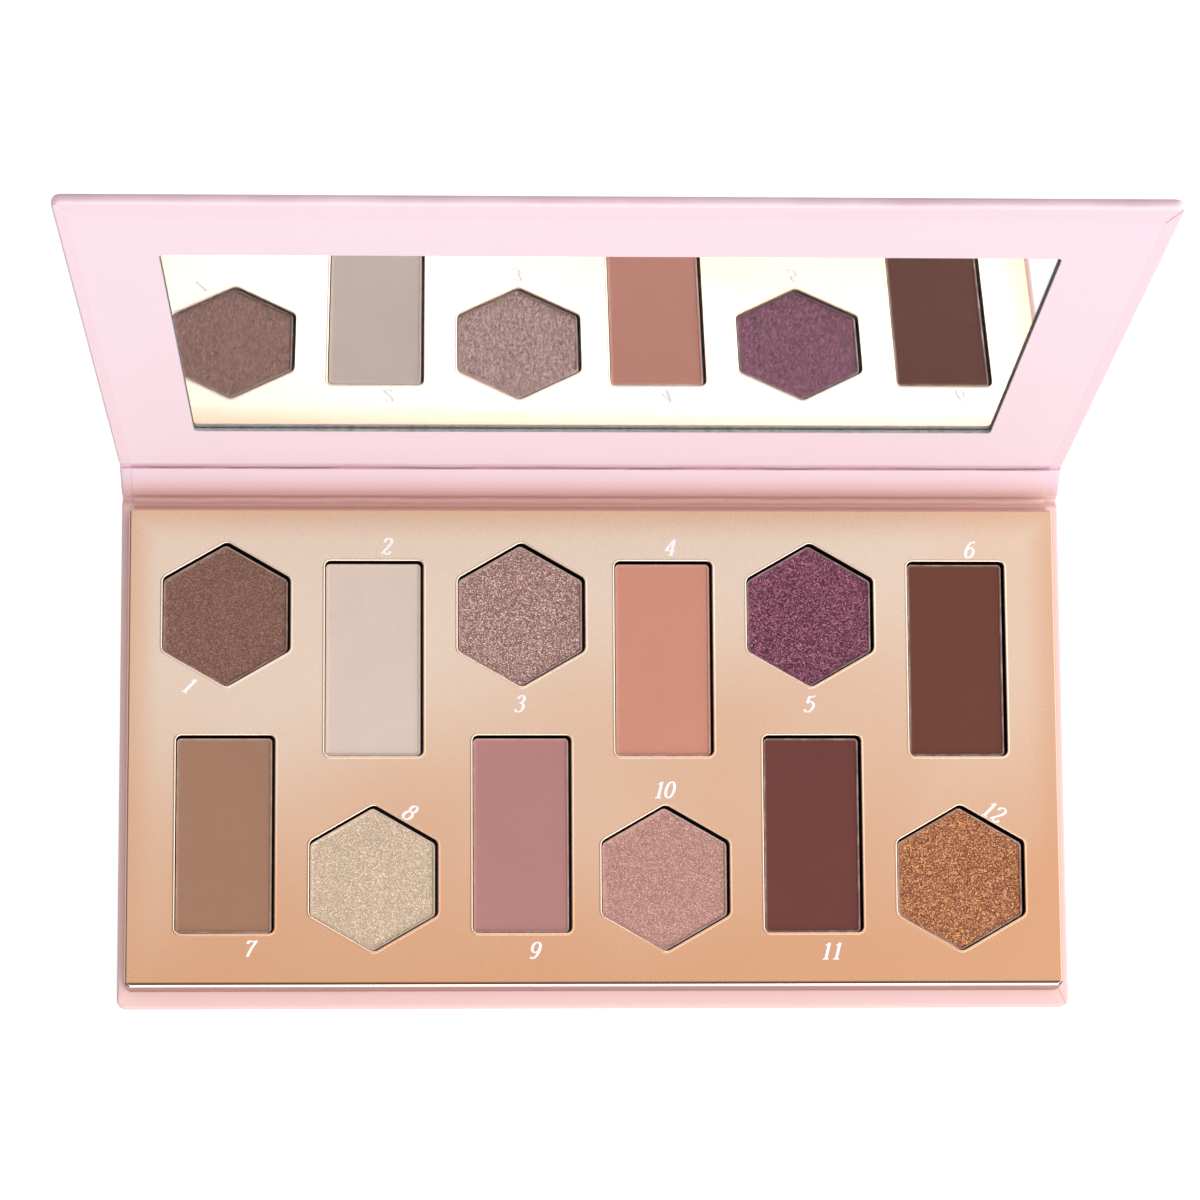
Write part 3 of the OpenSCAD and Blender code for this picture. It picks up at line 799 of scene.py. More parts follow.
@dataclass
class WrappedPanel:
    """Covering paper of the base or the lid: skin, turned edges, turn-ins and tucked
    corners, drawn lying on z = 0 with its inner face up."""

    sizes: CaseSizes
    thickness: float
    arc_steps: int = 7
    flat_stops: Point2 = (7.0, 3.5)
    side_stops: tuple[float, ...] = (0, 0.25, 0.5, 0.75, 0.93, 0.995)
    front_stops: tuple[float, ...] = (0.003, 0.04, 0.2, 0.35, 0.5, 0.65, 0.8, 0.96, 0.997)
    tuck_in: float = 2.1
    tuck_along: float = 3.9
    tuck_back: float = 3.0
    tuck_gap: Point2 = (0.42, 0.5)
    tuck_lift: float = 0.12
    tuck_sunk: float = 0.05

    def profile(self) -> np.ndarray:
        """Section through a turned edge: along the inner face to the edge, round it and
        back under the board, then the same way back inside the paper.

        Returns:
            Insets from the outer edge and heights, two rows, a closed loop.
        """
        s, t, r = self.sizes, self.thickness, self.sizes.edge_r
        flat = np.array([s.turn_in, *self.flat_stops, s.corner_r + 0.1, r + s.wrap])
        turn = np.linspace(math.pi / 2, math.pi, self.arc_steps + 1)
        faces = []
        for gap in (0.0, s.wrap):
            inset = np.concatenate([flat, r + (r - gap) * np.cos(turn)])
            rise = np.concatenate([np.full(len(flat), t - gap), t - r + (r - gap) * np.sin(turn)])
            faces.append(np.array([[*inset, *inset[::-1]], [*rise, *(t - rise[::-1])]]))
        return np.hstack([faces[0], faces[1][:, ::-1]])

    def path(self, inset: float) -> np.ndarray:
        """Points along the two side edges and the free edge, moved in by a distance."""
        s = self.sizes
        half, front = s.width / 2, -s.depth / 2
        depth, radius = max(s.corner_r, inset), max(s.corner_r - inset, 0.0)
        left = circle(np.linspace(math.pi, 1.5 * math.pi, 9)) * radius
        left += (-half + depth, front + depth)
        right = (left * (-1, 1))[::-1]
        side, across = np.array(self.side_stops)[:, None], np.array(self.front_stops)[:, None]
        down = np.array([-half + inset, s.rear]) * (1 - side) + left[0] * side
        free = left[-1] * (1 - across) + right[0] * across
        return np.concatenate([down, left, free, right, (down * (-1, 1))[::-1]])

    def tucks(self) -> list[Patch]:
        """Side turn-ins where they lie over the front one, cut off on a slant at the
        corner: one thin flap for each side."""
        s = self.sizes
        front, half = -s.depth / 2, s.width / 2
        outer, inner = half - self.tuck_gap[0], half - s.liner_inset - s.wrap
        corner = front + self.tuck_along
        slant = [[inner, corner + self.tuck_back], [half - self.tuck_in, corner]]
        flap = np.array([[outer, s.rear], [inner, s.rear], *slant, [outer, front + self.tuck_gap[1]]])
        faces = layered([flap, flap], [self.thickness - self.tuck_sunk, self.thickness + self.tuck_lift])
        side = grid_patch(faces.transpose(1, 0, 2), caps=True)
        return [side, Patch(side.points * (-1, 1, 1), [f[::-1] for f in side.faces])]

    def patches(self) -> list[Patch]:
        """The turned edges, the flat skin between them and the tucked corners."""
        s = self.sizes
        insets, heights = self.profile()
        edge = layered([self.path(inset) for inset in insets], heights)
        inner_x = s.width / 2 - s.turn_in
        skin = block_patch((-inner_x, -s.depth / 2 + s.turn_in, 0), (inner_x, s.rear, s.wrap))
        return [grid_patch(edge, caps=True), skin, *self.tucks()]


@dataclass
class Base(Assembly):
    """The case's base panel."""

    def build(self) -> list[bpy.types.Object]:
        """Makes the covering paper of the base."""
        patches = WrappedPanel(self.sizes, self.sizes.base_face).patches()
        wrap = make_piece("base_covering_paper", patches, self.finishes.get(BASE_PAPER))
        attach(wrap, "base")
        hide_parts("base_wrap")
        return [wrap]


@dataclass
class Lid(Assembly):
    """The lid panel with its mirror."""

    window: Point2 = (131.4, 58.9)
    window_centre: Point2 = (-0.5, 1.0)
    overlap: float = 2.5
    glass_from: float = 7.0
    glass_to: float = 7.4
    silver: float = 0.02
    glass_gap: float = 0.005

    def covering(self) -> bpy.types.Object:
        """Makes the covering paper of the lid: drawn inner face up, then turned over."""
        s = self.sizes
        patches = WrappedPanel(s, s.shut_height - s.lid_face).patches()
        for patch in patches:
            patch.points = s.on_lid(patch.points * (1, 1, -1) + (0, 0, s.shut_height))
        wrap = make_piece("lid_covering_paper", patches, self.finishes.get(LID_PAPER))
        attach(wrap, "lid")
        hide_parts("lid_wrap")
        return wrap

    def sheet(self, name: str, low: float, high: float, finish: Finish) -> bpy.types.Object:
        """Makes one layer of the mirror.

        Args:
            name: the layer's name.
            low: its face, as a level in the shut lid.
            high: its back.
            finish: its finish.

        Returns:
            The layer, riding on the lid.
        """
        w, h = (side / 2 + self.overlap for side in self.window)
        cx, cy = self.window_centre
        patch = block_patch((cx - w, cy - h, low), (cx + w, cy + h, high))
        patch.points = self.sizes.on_lid(patch.points)
        piece = make_piece(name, [patch], self.finishes.get(finish))
        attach(piece, "lid")
        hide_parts("mirror_sheet")
        return piece

    def build(self) -> list[bpy.types.Object]:
        """Makes the covering paper, the glass and the silvering behind it."""
        back = self.glass_to - self.silver
        return [
            self.covering(),
            self.sheet("mirror_glass", self.glass_from, back - self.glass_gap, GLASS),
            self.sheet("mirror_silvering", back, self.glass_to, SILVERING),
        ]


# ---- the folds ----


@dataclass
class Spine(Assembly):
    """The narrow spine panel and the paper that runs through both folds."""

    edge_r: float = 0.5
    curve_steps: int = 14
    stations: int = 61
    wave: float = 0.07
    sway: tuple[Point3, ...] = ((1.0, 0.21, 0.4), (0.6, 0.53, 2.0), (0.4, 1.1, 0.0))
    stray: tuple[Point3, ...] = ((1.0, 0.31, 1.0), (0.7, 0.83, 4.0))
    most_drop: float = 0.42
    pull: float = 0.9
    dip: Point2 = (0.45, 0.5)
    groove_in: Point2 = (0.55, 0.8)
    groove_back: Point2 = (0.0, 1.35)
    lining_sunk: float = 0.03

    @property
    def inner_y(self) -> float:
        """Y of the paper's inner face on the upright spine."""
        s = self.sizes
        return s.fold_y - s.wrap / 2 - s.spine_board - s.wrap

    @property
    def outer_y(self) -> float:
        """Y of the paper's outer face on the upright spine."""
        return self.sizes.fold_y + self.sizes.wrap / 2

    @property
    def ends_z(self) -> Point2:
        """Levels of the board's two long edges on the upright spine."""
        s = self.sizes
        return s.low_fold[2] + s.fold_margin, s.high_fold[2] - s.fold_margin

    def drop(self, x: np.ndarray) -> np.ndarray:
        """How much a face falls at each station, where the panel's ends are rounded."""
        left = np.clip(self.edge_r - self.sizes.width / 2 + np.abs(x), 0, self.edge_r)
        return self.edge_r - np.sqrt(self.edge_r**2 - left**2)

    def columns(self) -> np.ndarray:
        """Stations across the case, close together where its ends are rounded."""
        near = self.edge_r * (1 - np.cos(np.linspace(0, math.pi / 2, 6)))
        left = near - self.sizes.width / 2
        return np.concatenate([left, np.linspace(left[-1] + 1, -left[-1] - 1, self.stations), -left[::-1]])

    def panel(self) -> bpy.types.Object:
        """Makes the spine's covering paper, rounded over its two short ends."""
        x, (low, high) = self.columns(), self.ends_z
        drop = self.drop(x)
        inner, outer = (np.column_stack([x, y]) for y in (self.inner_y + drop, self.outer_y - drop))
        grid = layered([inner, inner, outer, outer], [low, high, high, low])
        patch = grid_patch(self.sizes.on_spine(grid), caps=True)
        piece = make_piece("spine_covering_paper", [patch], self.finishes.get(SPINE_PAPER))
        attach(piece, "spine")
        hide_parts("spine_wrap", "spine_board")
        return piece

    def bezier(self, *ends: np.ndarray) -> np.ndarray:
        """Cubic Bezier curve through the first and last of four points."""
        t = np.linspace(0, 1, self.curve_steps + 1)[:, None]
        return np.hstack([(1 - t) ** 3, 3 * t * (1 - t) ** 2, 3 * t**2 * (1 - t), t**3]) @ np.array(ends)

    def sections(self, upper: bool) -> tuple[np.ndarray, np.ndarray]:
        """Outer and inner line of the paper through one fold.

        The outer line runs from one panel's skin to the next round a soft corner. The
        inner line dips from one face into the groove between the boards and out again.

        Args:
            upper: the lid's fold, else the spine's.

        Returns:
            Points (n, 2) of both lines in Y and Z, matched one to one.
        """
        s, (low, high) = self.sizes, self.ends_z

        def still(y: float, z: float) -> np.ndarray:
            """Point on the base."""
            return np.array([0.0, y, z])

        def spine(y: float, z: float) -> np.ndarray:
            """Point that rides on the spine."""
            return s.on_spine(still(y, z))

        def lid(y: float, z: float) -> np.ndarray:
            """Point that rides on the lid."""
            return s.on_lid(still(y, z))

        if upper:
            fold, out_a = s.on_spine(s.high_fold), spine(self.outer_y, high)
            out_b = lid(s.rear, s.shut_height)
            in_a, in_b = spine(self.inner_y, high), lid(s.rear, s.lid_face)
            on_a, on_b = spine(self.inner_y, high + 1) - in_a, lid(s.rear - 1, s.lid_face) - in_b
        else:
            fold, out_a, out_b = s.low_fold, still(s.rear, 0), spine(self.outer_y, low)
            in_a, in_b = still(s.rear, s.base_face), spine(self.inner_y, low)
            on_a, on_b = still(1, 0), spine(self.inner_y, low + 1) - in_b
        places = (fold, out_a, out_b, in_a, in_b, on_a, on_b)
        fold, out_a, out_b, in_a, in_b, on_a, on_b = (p[1:] for p in places)
        reach = s.fold_margin * self.pull
        outer = self.bezier(out_a, out_a + on_a * reach, out_b - on_b * reach, out_b)
        into = unit(on_b - on_a)
        across = np.array([into[1], -into[0]])
        across *= math.copysign(1, across @ (in_b - in_a))
        floor = fold + into * self.groove_in[upper] - across * self.groove_back[upper]
        down, level = self.dip
        dip_a = self.bezier(in_a, in_a + on_a * down, floor - across * level, floor)
        dip_b = self.bezier(floor, floor + across * level, in_b - on_b * down, in_b)
        return outer, np.concatenate([dip_a[::2], dip_b[2::2]])

    def write_depth(self, mesh: bpy.types.Mesh, inner: np.ndarray) -> None:
        """Stores how far each point lies above the bottom of the fold, in millimetres.

        Args:
            mesh: the strip that crosses the fold.
            inner: the strip's inner line.
        """
        chord = unit(inner[-1] - inner[0])
        middle = inner[len(inner) // 2]
        up = np.array([-chord[1], chord[0]])
        up *= math.copysign(1, up @ (inner[0] - middle))
        co = np.empty(len(mesh.vertices) * 3, np.float32)
        mesh.vertices.foreach_get("co", co)
        depth = (co.reshape(-1, 3)[:, 1:] / MM - middle) @ up
        layer = mesh.attributes.new(DEPTH, "FLOAT", "POINT")
        layer.data.foreach_set("value", depth.astype(np.float32))

    def waved(self, x: np.ndarray, inner: np.ndarray, toward: np.ndarray) -> np.ndarray:
        """Carries the inner line across the case, a little wavy between its two ends.

        Args:
            x: the stations.
            inner: the inner line.
            toward: unit vectors from the outer line to it.

        Returns:
            Points (line, station, 2) in Y and Z.
        """
        sway, stray = wavy(x, self.sway)[:, None], wavy(x, self.stray)[:, None]
        bend = self.wave * np.sin(np.linspace(0, math.pi, len(inner)))[:, None, None] ** 2
        chord = unit(inner[-1] - inner[0])
        return inner[:, None] + bend * (sway * toward[:, None] + stray * chord)

    def crease(self, upper: bool, lining: bool) -> bpy.types.Object:
        """Makes one piece of paper that crosses a fold, closed at both ends.

        Args:
            upper: the lid's fold, else the spine's.
            lining: the lining paper inside the groove, else the covering paper.

        Returns:
            The piece, in place in the open case.
        """
        s = self.sizes
        outer, inner = self.sections(upper)
        thick = np.linalg.norm(inner - outer, axis=1)[:, None]
        toward = (inner - outer) / thick
        if lining:
            half = s.width / 2 - s.liner_inset
            x = np.linspace(-half, half, self.stations)
            waved = self.waved(x, inner, toward)
            top, bottom = waved + toward[:, None] * s.liner, waved - toward[:, None] * self.lining_sunk
        else:
            x = self.columns()
            drop = toward[:, None] * np.minimum(self.drop(x), self.most_drop * thick)[..., None]
            top, bottom = self.waved(x, inner, toward) - drop, outer[:, None] + drop
        loop = np.concatenate([bottom, top[::-1]])
        grid = np.concatenate([np.broadcast_to(x[:, None], (*loop.shape[:2], 1)), loop], axis=2)
        name = ("lid" if upper else "spine") + ("_fold_lining" if lining else "_fold_paper")
        paper = (LOW_FOLD, HIGH_FOLD)[upper] if lining else (BASE_PAPER, PINK_PAPER)[upper]
        piece = make_piece(name, [grid_patch(grid, caps=True)], self.finishes.get(paper), 60)
        self.write_depth(piece.data, inner)
        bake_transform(piece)
        return piece

    def build(self) -> list[bpy.types.Object]:
        """Makes the spine's paper and the four strips in its folds."""
        strips = [self.crease(upper, lining) for upper in (False, True) for lining in (False, True)]
        return [self.panel(), *strips]


# ---- the tray ----


@dataclass(frozen=True)
class Shade:
    """One pan of powder: where it lies, its colour, its flakes and its number."""

    node: str
    number: int
    label: Point2
    tint: str
    press: Press = Press.MATTE
    flake: str = ""
    label_turn: float = 0.0


SHADES = (
    Shade("hex_powder_1", 1, (-67.8, 11.2), "#764E40", Press.SATIN, "#B2887A", -30),
    Shade("rect_powder_2", 2, (-34.8, 35.0), "#D6C2B5"),
    Shade("hex_powder_3", 3, (-12.4, 8.2), "#987067", Press.GLITTER, "#D6B6AF"),
    Shade("rect_powder_4", 4, (13.1, 34.9), "#C98B78"),
    Shade("hex_powder_5", 5, (36.4, 8.2), "#5A2036", Press.GLITTER, "#AC6A83"),
    Shade("rect_powder_6", 6, (64.0, 34.6), "#683D31"),
    Shade("rect_powder_1", 7, (-57.4, -32.9), "#9D7660"),
    Shade("hex_powder_2", 8, (-30.8, -10.2), "#CBB095", Press.SATIN, "#F0DAC4", -30),
    Shade("rect_powder_3", 9, (-10.0, -33.3), "#B07D78"),
    Shade("hex_powder_4", 10, (11.8, -6.4), "#B28176", Press.SATIN, "#D8AA9E"),
    Shade("rect_powder_5", 11, (39.6, -33.5), "#6B3B36"),
    Shade("hex_powder_6", 12, (67.2, -10.2), "#88482A", Press.GLITTER, "#D89A66", -30),
)


def oval(x: float, y: float, width: float, height: float) -> tuple[Point2, ...]:
    """Closed pen path round an ellipse."""
    a = np.linspace(0, 2 * math.pi, 13)
    u, v = np.round(0.5 * np.cos(a), 4), np.round(0.5 * np.sin(a), 4)
    return tuple(zip(x + width * u, y + height * v))


# Pen paths of the figures, in hundredths of a figure's height. A path is a smooth curve
# through its points; a path that ends where it starts is closed.
PEN_PATHS: dict[str, tuple[tuple[Point2, ...], ...]] = {
    "0": (oval(30, 49, 46, 92),),
    "1": (
        ((32, 96), (32, 50), (32, 3)),
        ((32, 95), (25, 86), (14, 82)),
        ((15, 2), (32, 3.5), (49, 2)),
    ),
    "2": (
        ((10, 72), (13, 88), (30, 96), (47, 86), (48, 66), (34, 40), (8, 5)),
        ((7, 6), (22, 10), (38, 2), (52, 6), (55, 20)),
    ),
    "3": (
        ((10, 78), (18, 92), (34, 95), (46, 80), (41, 61), (24, 53)),
        ((24, 53), (44, 47), (52, 26), (42, 6), (22, 2), (7, 16)),
    ),
    "4": (
        ((43, 96), (24, 62), (5, 30)),
        ((4, 30), (30, 30), (58, 30)),
        ((43, 95), (43, 50), (43, 3)),
        ((29, 2), (43, 3), (57, 2)),
    ),
    "5": (
        ((17, 92), (32, 88), (50, 96)),
        ((17, 92), (15, 72), (13, 52)),
        ((13, 52), (30, 61), (50, 48), (52, 24), (36, 3), (16, 3), (6, 16)),
    ),
    "6": (oval(30, 30, 44, 58), ((49, 88), (34, 94), (16, 76), (8, 46), (9, 22))),
    "7": (((8, 76), (12, 92), (34, 88), (56, 94)), ((56, 94), (36, 50), (24, 2))),
    "8": (oval(30, 73, 34, 44), oval(30, 27, 44, 54)),
    "9": (oval(30, 66, 44, 58), ((51, 74), (52, 50), (44, 20), (26, 3), (10, 10))),
}


@dataclass(frozen=True)
class Numeral:
    """Slanting figures drawn with a pen that is broad on upright strokes and fine on level
    ones, in screen ink that stands a little above the deck. The height, the ink, its step
    and how far it is sunk are millimetres; other lengths are shares of the height."""

    height: float = 2.9
    broad: float = 0.17
    fine: float = 0.07
    slant: float = 0.26
    advance: float = 0.6
    ink: float = 0.02
    ink_step: float = 0.002
    sunk: float = 0.01
    steps: int = 8

    def curve(self, path: np.ndarray) -> tuple[np.ndarray, bool]:
        """Smooth curve through the points of a path: between two points it is the cubic
        whose slope at each of them is half the step between that point's neighbours.

        Args:
            path: the points, (n, 2).

        Returns:
            The curve's points and whether it is closed.
        """
        closed = bool(np.allclose(path[0], path[-1]))
        if closed:
            around = np.concatenate([path[-2:-1], path, path[1:2]])
        else:
            around = np.concatenate([2 * path[:1] - path[1:2], path, 2 * path[-1:] - path[-2:-1]])
        t = np.linspace(0, 1, self.steps + 1)[:-1, None, None]
        before, start, end, after = (around[k : len(around) - 3 + k] for k in range(4))
        points = 0.5 * (
            2 * start
            + (end - before) * t
            + (2 * before - 5 * start + 4 * end - after) * t**2
            + (3 * start - before - 3 * end + after) * t**3
        )
        points = points.transpose(1, 0, 2).reshape(-1, 2)
        return (points if closed else np.concatenate([points, path[-1:]])), closed

    def stroke(self, path: np.ndarray, level: float) -> Patch:
        """Carries the pen along a path.

        Args:
            path: the path's points in the unit cell.
            level: the height of the ink's upper face above the deck.

        Returns:
            A closed strip, wider where the path runs up or down.
        """
        line, closed = self.curve(path)
        around = np.roll(line, -1, axis=0) - np.roll(line, 1, axis=0)
        step = unit(around if closed else np.gradient(line, axis=0))
        width = self.fine + (self.broad - self.fine) * np.abs(step[:, 1:]) ** 2
        side = np.stack([-step[:, 1], step[:, 0]], axis=1) * width / 2
        left, right = line + side, line - side
        grid = layered([left, left, right, right], [-self.sunk, level, level, -self.sunk])
        grid[..., 0] += self.slant * grid[..., 1]
        grid[..., :2] *= self.height
        return grid_patch(grid, closed=closed, caps=not closed)

    def printed(self, figures: str) -> list[Patch]:
        """Sets figures side by side about their middle, each stroke a little above the last."""
        patches = []
        for place, figure in enumerate(figures):
            offset = (place - len(figures) / 2) * self.advance - self.slant / 2
            for k, path in enumerate(PEN_PATHS[figure]):
                patch = self.stroke(np.array(path) / 100, self.ink + self.ink_step * k)
                patch.points[:, :2] += (offset * self.height, -self.height / 2)
                patches.append(patch)
        return patches


@dataclass
class Tray(Assembly):
    """The metallised tray, its wells, the pans of powder and the printed numbers."""

    width: float = 156.4
    length: float = 80.7
    centre_y: float = 1.05
    corner_r: float = 1.0
    edge_r: float = 0.35
    deck: float = 6.1
    foot: float = 2.16
    well_shift: float = -0.2
    column_pitch: float = 24.8
    middle_narrowing: float = 0.8
    hex_row: float = 22.3
    rect_row: float = 14.85
    hex_flats: float = 21.5
    hex_r: float = 1.3
    rect: Point2 = (16.6, 33.3)
    rect_r: float = 1.0
    pan_gap: float = 0.35
    pan_wall: float = 0.3
    pan_set: Point2 = (-0.17, -0.2)
    pan_floor: float = 3.1
    pan_rim: float = 5.6
    smear: float = 0.17
    rim_out: float = 0.03
    rim_proud: float = 0.012
    rim_in: float = 0.05
    wall_base: float = 0.1
    powder_top: float = 5.44
    crown: float = 0.02
    ripple: float = 0.002
    draft: float = 0.62

    def well(self, node: str, gap: float = 0.0, shift: Point2 = (0, 0)) -> Outline:
        """Outline of a well or of what lies in it.

        Args:
            node: a CAD node of that well, such as "hex_powder_3".
            gap: how much smaller than the well, all round.
            shift: how far its middle is moved.

        Returns:
            The outline.
        """
        is_hex, index = node.startswith("hex"), int(node[-1]) - 1
        step = index - 2.5
        x = self.well_shift + step * self.column_pitch - math.copysign(self.middle_narrowing / 2, step)
        row = self.hex_row if is_hex else self.rect_row
        y = self.centre_y + (row if (index % 2 == 0) == is_hex else -row)
        centre = (x + shift[0], y + shift[1])
        if is_hex:
            return Outline(hexagon(self.hex_flats - 2 * gap, centre), self.hex_r - gap)
        width, length = (side - 2 * gap for side in self.rect)
        return Outline(rectangle(width, length, centre), self.rect_r - gap)

    def on_deck(self, name: str, patches: list[Patch], finish: Finish, sharp: float) -> bpy.types.Object:
        """Makes a piece that belongs to the tray.

        Args:
            name: the piece's name.
            patches: its shells.
            finish: its finish.
            sharp: the angle above which its edges stay crisp, in degrees.

        Returns:
            The piece, riding on the base.
        """
        piece = make_piece(name, patches, self.finishes.get(finish), sharp)
        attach(piece, "base")
        return piece

    def bands(
        self, name: str, outlines: list[Outline], section: np.ndarray | list[Point2], finish: Finish
    ) -> bpy.types.Object:
        """Makes a closed band round each outline, all as one piece.

        Args:
            name: the piece's name.
            outlines: what the bands go round.
            section: how far in each point of their section lies and how high, two columns.
            finish: their finish.

        Returns:
            The piece, riding on the base.
        """
        insets, heights = np.array(section).T
        patches = [grid_patch(swept(outline, insets, heights), closed=True) for outline in outlines]
        return self.on_deck(name, patches, finish, 50)

    def lips(self) -> list[bpy.types.Object]:
        """Makes the raised lip that the mould leaves round the mouth of each well: a flat
        band that starts at a crisp step in the deck, and a bright edge that rolls down."""
        turn = np.linspace(0, math.pi / 2, 6)
        proud, roll, start, meet, sunk = 0.02, 0.14, -0.36, -0.12, -0.12
        band = [(start, sunk), (start, 0.0), (start + 0.03, proud), (meet, proud), (meet, sunk)]
        rolled = zip(meet + (roll + 0.015) * np.sin(turn), proud - roll * (1 - np.cos(turn)))
        edge = [*rolled, (meet, proud - roll)]
        wells, above = [self.well(shade.node) for shade in SHADES], (0, self.deck)
        return [
            self.bands("well_lips", wells, np.array(band) + above, ROSE_GOLD),
            self.bands("well_edges", wells, np.array(edge) + above, WELL_EDGE),
        ]

    def rim(self) -> list[bpy.types.Object]:
        """Makes the tray's polished upper edge, a quarter round, and the wall under it,
        which leans out a little so that the tray leaves its mould."""
        turn, out, inside = np.linspace(0, math.pi / 2, 8), self.rim_out, self.rim_in
        r, shoulder, foot = self.edge_r, self.deck - self.edge_r, self.foot
        rolled = zip(r - (r + out) * np.cos(turn), shoulder + (r + self.rim_proud) * np.sin(turn))
        edge = [(inside, shoulder), *rolled, (r + 0.02, self.deck - 0.1)]
        face = [(-self.draft, foot), (-self.draft, foot + self.wall_base), (-out - 0.01, shoulder + 0.02)]
        wall = [(inside, foot), *face, (inside, shoulder + 0.02)]
        sides = rectangle(self.width, self.length, (0, self.centre_y))
        outline = [Outline(sides, self.corner_r, side_steps=10)]
        # The edge carries a painted highlight along the front, and the wall a painted shade.
        return [
            self.bands("tray_rim", outline, edge, PAINTED_HIGHLIGHT_EDGE),
            self.bands("tray_wall", outline, wall, SHADED_GOLD),
        ]

    def cake(self, shade: Shade, seed: int) -> bpy.types.Object:
        """Makes one pressed cake: a wall, a smear over the inner half of the pan's rim, a
        short step down and a face that is gently crowned and slightly uneven, shrunk ring
        by ring to its middle.

        Args:
            shade: the shade in the pan.
            seed: where its unevenness starts.

        Returns:
            The cake.
        """
        outline = self.well(shade.node, self.pan_gap + self.smear, self.pan_set)
        inside, rim = self.pan_wall - self.smear + 0.02, self.pan_rim + 0.004
        insets = np.array([inside, inside, 0.0, inside - 0.06, inside, inside + 0.05, inside + 0.2])
        heights = rim - np.array([0.0, 0.0, 0.0, 0.0, 0.4, 0.9, 1.0]) * (rim - self.powder_top)
        heights[:2] = self.pan_floor, self.pan_rim - 0.06
        wall = swept(outline, insets, heights)
        middle = wall[-1].mean(axis=0)
        shares = np.linspace(1, 0, 15)[1:, None, None]
        face = middle + (wall[-1] - middle) * shares
        a, b, c, d = np.random.default_rng(seed).uniform(0, 2 * math.pi, 4)
        x, y, inward = face[..., 0], face[..., 1], shares[..., 0]
        ripple = np.sin(x * 0.9 + a) * np.sin(y * 0.7 + b)
        ripple += 0.5 * np.sin(x * 2.3 + c) * np.sin(y * 1.9 + d)
        face[..., 2] += self.crown * (1 - inward**2) + self.ripple * ripple * (1 - inward**4)
        face[-1] = face[-1].mean(axis=0)
        patch = grid_patch(np.concatenate([wall, face]), ring=False, closed=True)
        patch.faces.append(np.arange(wall.shape[1])[::-1].tolist())
        name = f"pressed_{shade.press.name.lower()}_{shade.number}"
        finish = self.finishes.get(PressedPowder(name, shade.tint, shade.press, shade.flake))
        piece = make_piece(f"powder_cake_{shade.number}", [patch], finish, 60)
        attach(piece, "base")
        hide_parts(shade.node)
        return piece

    def number(self, shade: Shade) -> bpy.types.Object:
        """Prints a shade's number on the deck."""
        patches = Numeral().printed(str(shade.number))
        c, s = math.cos(math.radians(shade.label_turn)), math.sin(math.radians(shade.label_turn))
        for patch in patches:
            patch.points[:, :2] = patch.points[:, :2] @ np.array([[c, s], [-s, c]])
            patch.points += (*shade.label, self.deck)
        return self.on_deck(f"number_{shade.number}", patches, WHITE_INK, 32)

    def build(self) -> list[bpy.types.Object]:
        """Makes the lips, the rim, the powder and the numbers."""
        cakes = [self.cake(shade, 11 * k + 3) for k, shade in enumerate(SHADES)]
        return [*self.lips(), *self.rim(), *cakes, *(self.number(shade) for shade in SHADES)]


# ---- CAD nodes that keep their own mesh ----


NODE_FINISHES: dict[str, Finish] = {
    "base_liner": BASE_LINING,
    "spine_liner": SPINE_LINING,
    "lid_liner": LINING_PAPER,
    "tray_shell": ROSE_GOLD,
    **dict.fromkeys(("base_board", "lid_board", "lid_spacer_board", "lid_frame_board"), GREY_BOARD),
    **dict.fromkeys(("tray_tape", "mirror_tape", "pan_glue"), ADHESIVE),
    **dict.fromkeys(("base_magnets", "lid_magnets"), NICKEL),
    **{
        shade.node.replace("powder", "pan"): DustedPan(f"dusted_pan_{shade.number}", shade.tint)
        for shade in SHADES
    },
}


def dress_nodes(nodes: dict[str, bpy.types.Object], finishes: Finishes) -> None:
    """Gives every CAD node that stays its real finish.

    Args:
        nodes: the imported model's nodes by name.
        finishes: the palette's finishes.
    """
    for name, finish in NODE_FINISHES.items():
        node, material = nodes[name], finishes.get(finish)
        if not node.material_slots:
            node.data.materials.append(material)
        for slot in node.material_slots:
            slot.material = material


# ---- the studio ----


@dataclass(frozen=True)
class Lamp:
    """A soft rectangular lamp: place and aim in metres, size in metres, power in watts."""

    name: str
    place: Point3
    aim: Point3
    size: Point2
    power: float

    def build(self) -> None:
        """Hangs the lamp."""
        light = bpy.data.lights.new(self.name, "AREA")
        light.shape, light.energy = "RECTANGLE", self.power
        light.size, light.size_y = self.size
        lamp = bpy.data.objects.new(self.name, light)
        away = Vector(self.place) - Vector(self.aim)
        lamp.rotation_euler = away.to_track_quat("Z", "Y").to_euler()
        lamp.location = self.place
        bpy.context.scene.collection.objects.link(lamp)


